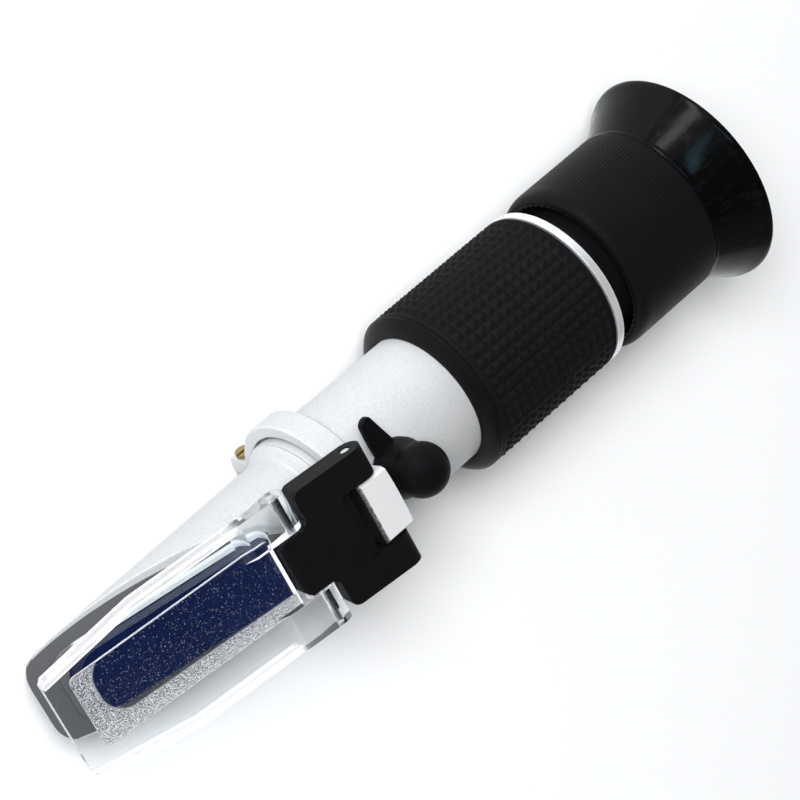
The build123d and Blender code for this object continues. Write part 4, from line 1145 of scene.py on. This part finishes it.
class MakeStage(bpy.types.Operator):
    """Pale floor, soft lights and the camera at the photograph's angle."""

    bl_idname = "refractometer.make_stage"
    bl_label = "Stage"

    def execute(self, context):
        scene = context.scene
        colours = scene.refractometer_colours
        make_floor(colours.floor)
        scene.world = pale_walls(colours.sky, colours.ceiling)

        soft_light("window", azimuth=42.0, elevation=52.0, distance=1.0, size=(0.42, 0.42),
                   power=colours.window_power, seen_by="matt")
        soft_light("fill", azimuth=0.0, elevation=62.0, distance=1.0, size=(0.5, 0.5),
                   power=colours.fill_power, seen_by="matt")
        soft_light("key", azimuth=18.0, elevation=20.5, distance=0.8, size=(0.58, 0.16),
                   power=colours.key_power, seen_by="gloss")
        azimuths, highest, cool = (21.0, 25.5, 29.0, 33.5), 56.0, (0.3, 0.66, 0.9)
        power = colours.front_power / len(azimuths)
        for number, azimuth in enumerate(azimuths):
            strip = soft_light("front_%d" % number, azimuth, highest - number, distance=0.9,
                               size=(0.02, 0.36), power=power, seen_by="gloss")
            strip.data.color = cool

        scene.camera = make_camera()
        scene.view_settings.view_transform = "Standard"
        return {"FINISHED"}


def make_floor(colour):
    """Floor on which the eyecup's rim and the hinge ring's lug rest: a large flat square."""
    cup_x, cup_low, ring_x, ring_low = 81.0, 20.95, -17.4, 18.65
    span, gap = 2400.0, 0.05
    tilt = (cup_low - ring_low) / (cup_x - ring_x)
    level = cup_x * tilt - cup_low
    corners = np.array([[-1, -1], [1, -1], [1, 1], [-1, 1]]) * span
    z = level - corners[:, :1] * tilt - gap
    mesh = bpy.data.meshes.new("floor")
    mesh.from_pydata((np.hstack([corners, z]) * MM).tolist(), [], [[0, 1, 2, 3]])
    finish = Finish("floor")
    cloud = finish.noise(6.0, 2.0, 0.5)
    finish.set(Base_Color=finish.mix(cloud, shade(colour, 0.985), shade(colour)))
    finish.set(Roughness=0.6, Specular_IOR_Level=0.2)
    mesh.materials.append(finish.material)
    floor = bpy.data.objects.new("floor", mesh)
    bpy.context.scene.collection.objects.link(floor)


def make_camera():
    """The camera at the photograph's place, angle and focal length."""
    data = bpy.data.cameras.new("camera")
    data.sensor_width = SENSOR
    data.lens = FOCAL_PX / PHOTO_PX * SENSOR
    data.clip_start = 0.01
    camera = bpy.data.objects.new("camera", data)
    bpy.context.scene.collection.objects.link(camera)
    turn = Matrix((CAMERA_RIGHT, CAMERA_UP, CAMERA_BACK)).transposed().to_4x4()
    camera.matrix_world = Matrix.Translation(CAMERA_PLACE) @ turn
    return camera


def pale_walls(walls, ceiling):
    """World of a small studio: pale walls that pass into a dark ceiling and dim towards -Y."""
    dimmest = 0.32
    world = bpy.data.worlds.new("studio")
    world.use_nodes = True
    nodes = Nodes(world.node_tree)
    background = world.node_tree.nodes["Background"]
    way = nodes.node("ShaderNodeTexCoord").outputs["Generated"]
    parts = nodes.node("ShaderNodeSeparateXYZ", None, way)
    height, left = Value(nodes, parts.outputs[2]), Value(nodes, parts.outputs[1])
    strength = walls - height.over(0.42, 0.86) * (walls - ceiling)
    strength = strength * (dimmest + left.over(-0.8, 0.2) * (1 - dimmest))
    nodes.feed(background.inputs["Color"], (0.95, 0.975, 1.0, 1.0))
    nodes.feed(background.inputs["Strength"], strength)
    return world


def soft_light(name, azimuth, elevation, distance, size, power, seen_by):
    """A rectangular area light, in metres and watts, that looks at a point near the middle.

    Azimuth is in degrees from +Y towards -X, and elevation in degrees above the axis. A light
    for matt surfaces shows in no reflection, and one for gloss shows in nothing else.
    """
    target = Vector((0.005, 0.0, 0.0))
    a, e = np.radians(azimuth), np.radians(elevation)
    away = Vector((-np.sin(a) * np.cos(e), np.cos(a) * np.cos(e), np.sin(e)))
    data = bpy.data.lights.new(name, "AREA")
    data.shape = "RECTANGLE"
    data.size, data.size_y = size
    data.energy = power
    lamp = bpy.data.objects.new(name, data)
    bpy.context.scene.collection.objects.link(lamp)
    lamp.location = target + away * distance
    lamp.rotation_euler = (-away).to_track_quat("-Z", "Y").to_euler()
    lamp.visible_diffuse = seen_by == "matt"
    lamp.visible_glossy = seen_by == "gloss"
    lamp.visible_transmission = seen_by == "gloss"
    return lamp


class RefractometerPanel(bpy.types.Panel):
    """Sidebar panel that lists the steps in order."""

    bl_idname = "VIEW3D_PT_refractometer"
    bl_label = "Refractometer"
    bl_space_type = "VIEW_3D"
    bl_region_type = "UI"
    bl_category = "Refractometer"

    def draw(self, context):
        for step in STEPS:
            self.layout.operator(step.bl_idname)
        for group in (context.scene.refractometer_sizes, context.scene.refractometer_colours):
            for key in group.__annotations__:
                self.layout.prop(group, key)


STEPS = (MakeStage, MakeBarrel, MakeHousing, MakePrism, MakeHingeRing, MakeArm, MakePlate, MakeCap,
         MakeGrip, MakeEyepiece, MakeInside)
CLASSES = (RefractometerSizes, RefractometerColours, *STEPS, RefractometerPanel)


def register():
    for cls in CLASSES:
        bpy.utils.register_class(cls)
    bpy.types.Scene.refractometer_sizes = PointerProperty(type=RefractometerSizes)
    bpy.types.Scene.refractometer_colours = PointerProperty(type=RefractometerColours)


def unregister():
    del bpy.types.Scene.refractometer_sizes
    del bpy.types.Scene.refractometer_colours
    for cls in reversed(CLASSES):
        bpy.utils.unregister_class(cls)


def main():
    register()
    bpy.ops.refractometer.make_stage()
    bpy.ops.refractometer.make_barrel()
    bpy.ops.refractometer.make_housing()
    bpy.ops.refractometer.make_prism()
    bpy.ops.refractometer.make_hinge_ring()
    bpy.ops.refractometer.make_arm()
    bpy.ops.refractometer.make_plate()
    bpy.ops.refractometer.make_cap()
    bpy.ops.refractometer.make_grip()
    bpy.ops.refractometer.make_eyepiece()
    bpy.ops.refractometer.make_inside()


if __name__ == "__main__":
    main()
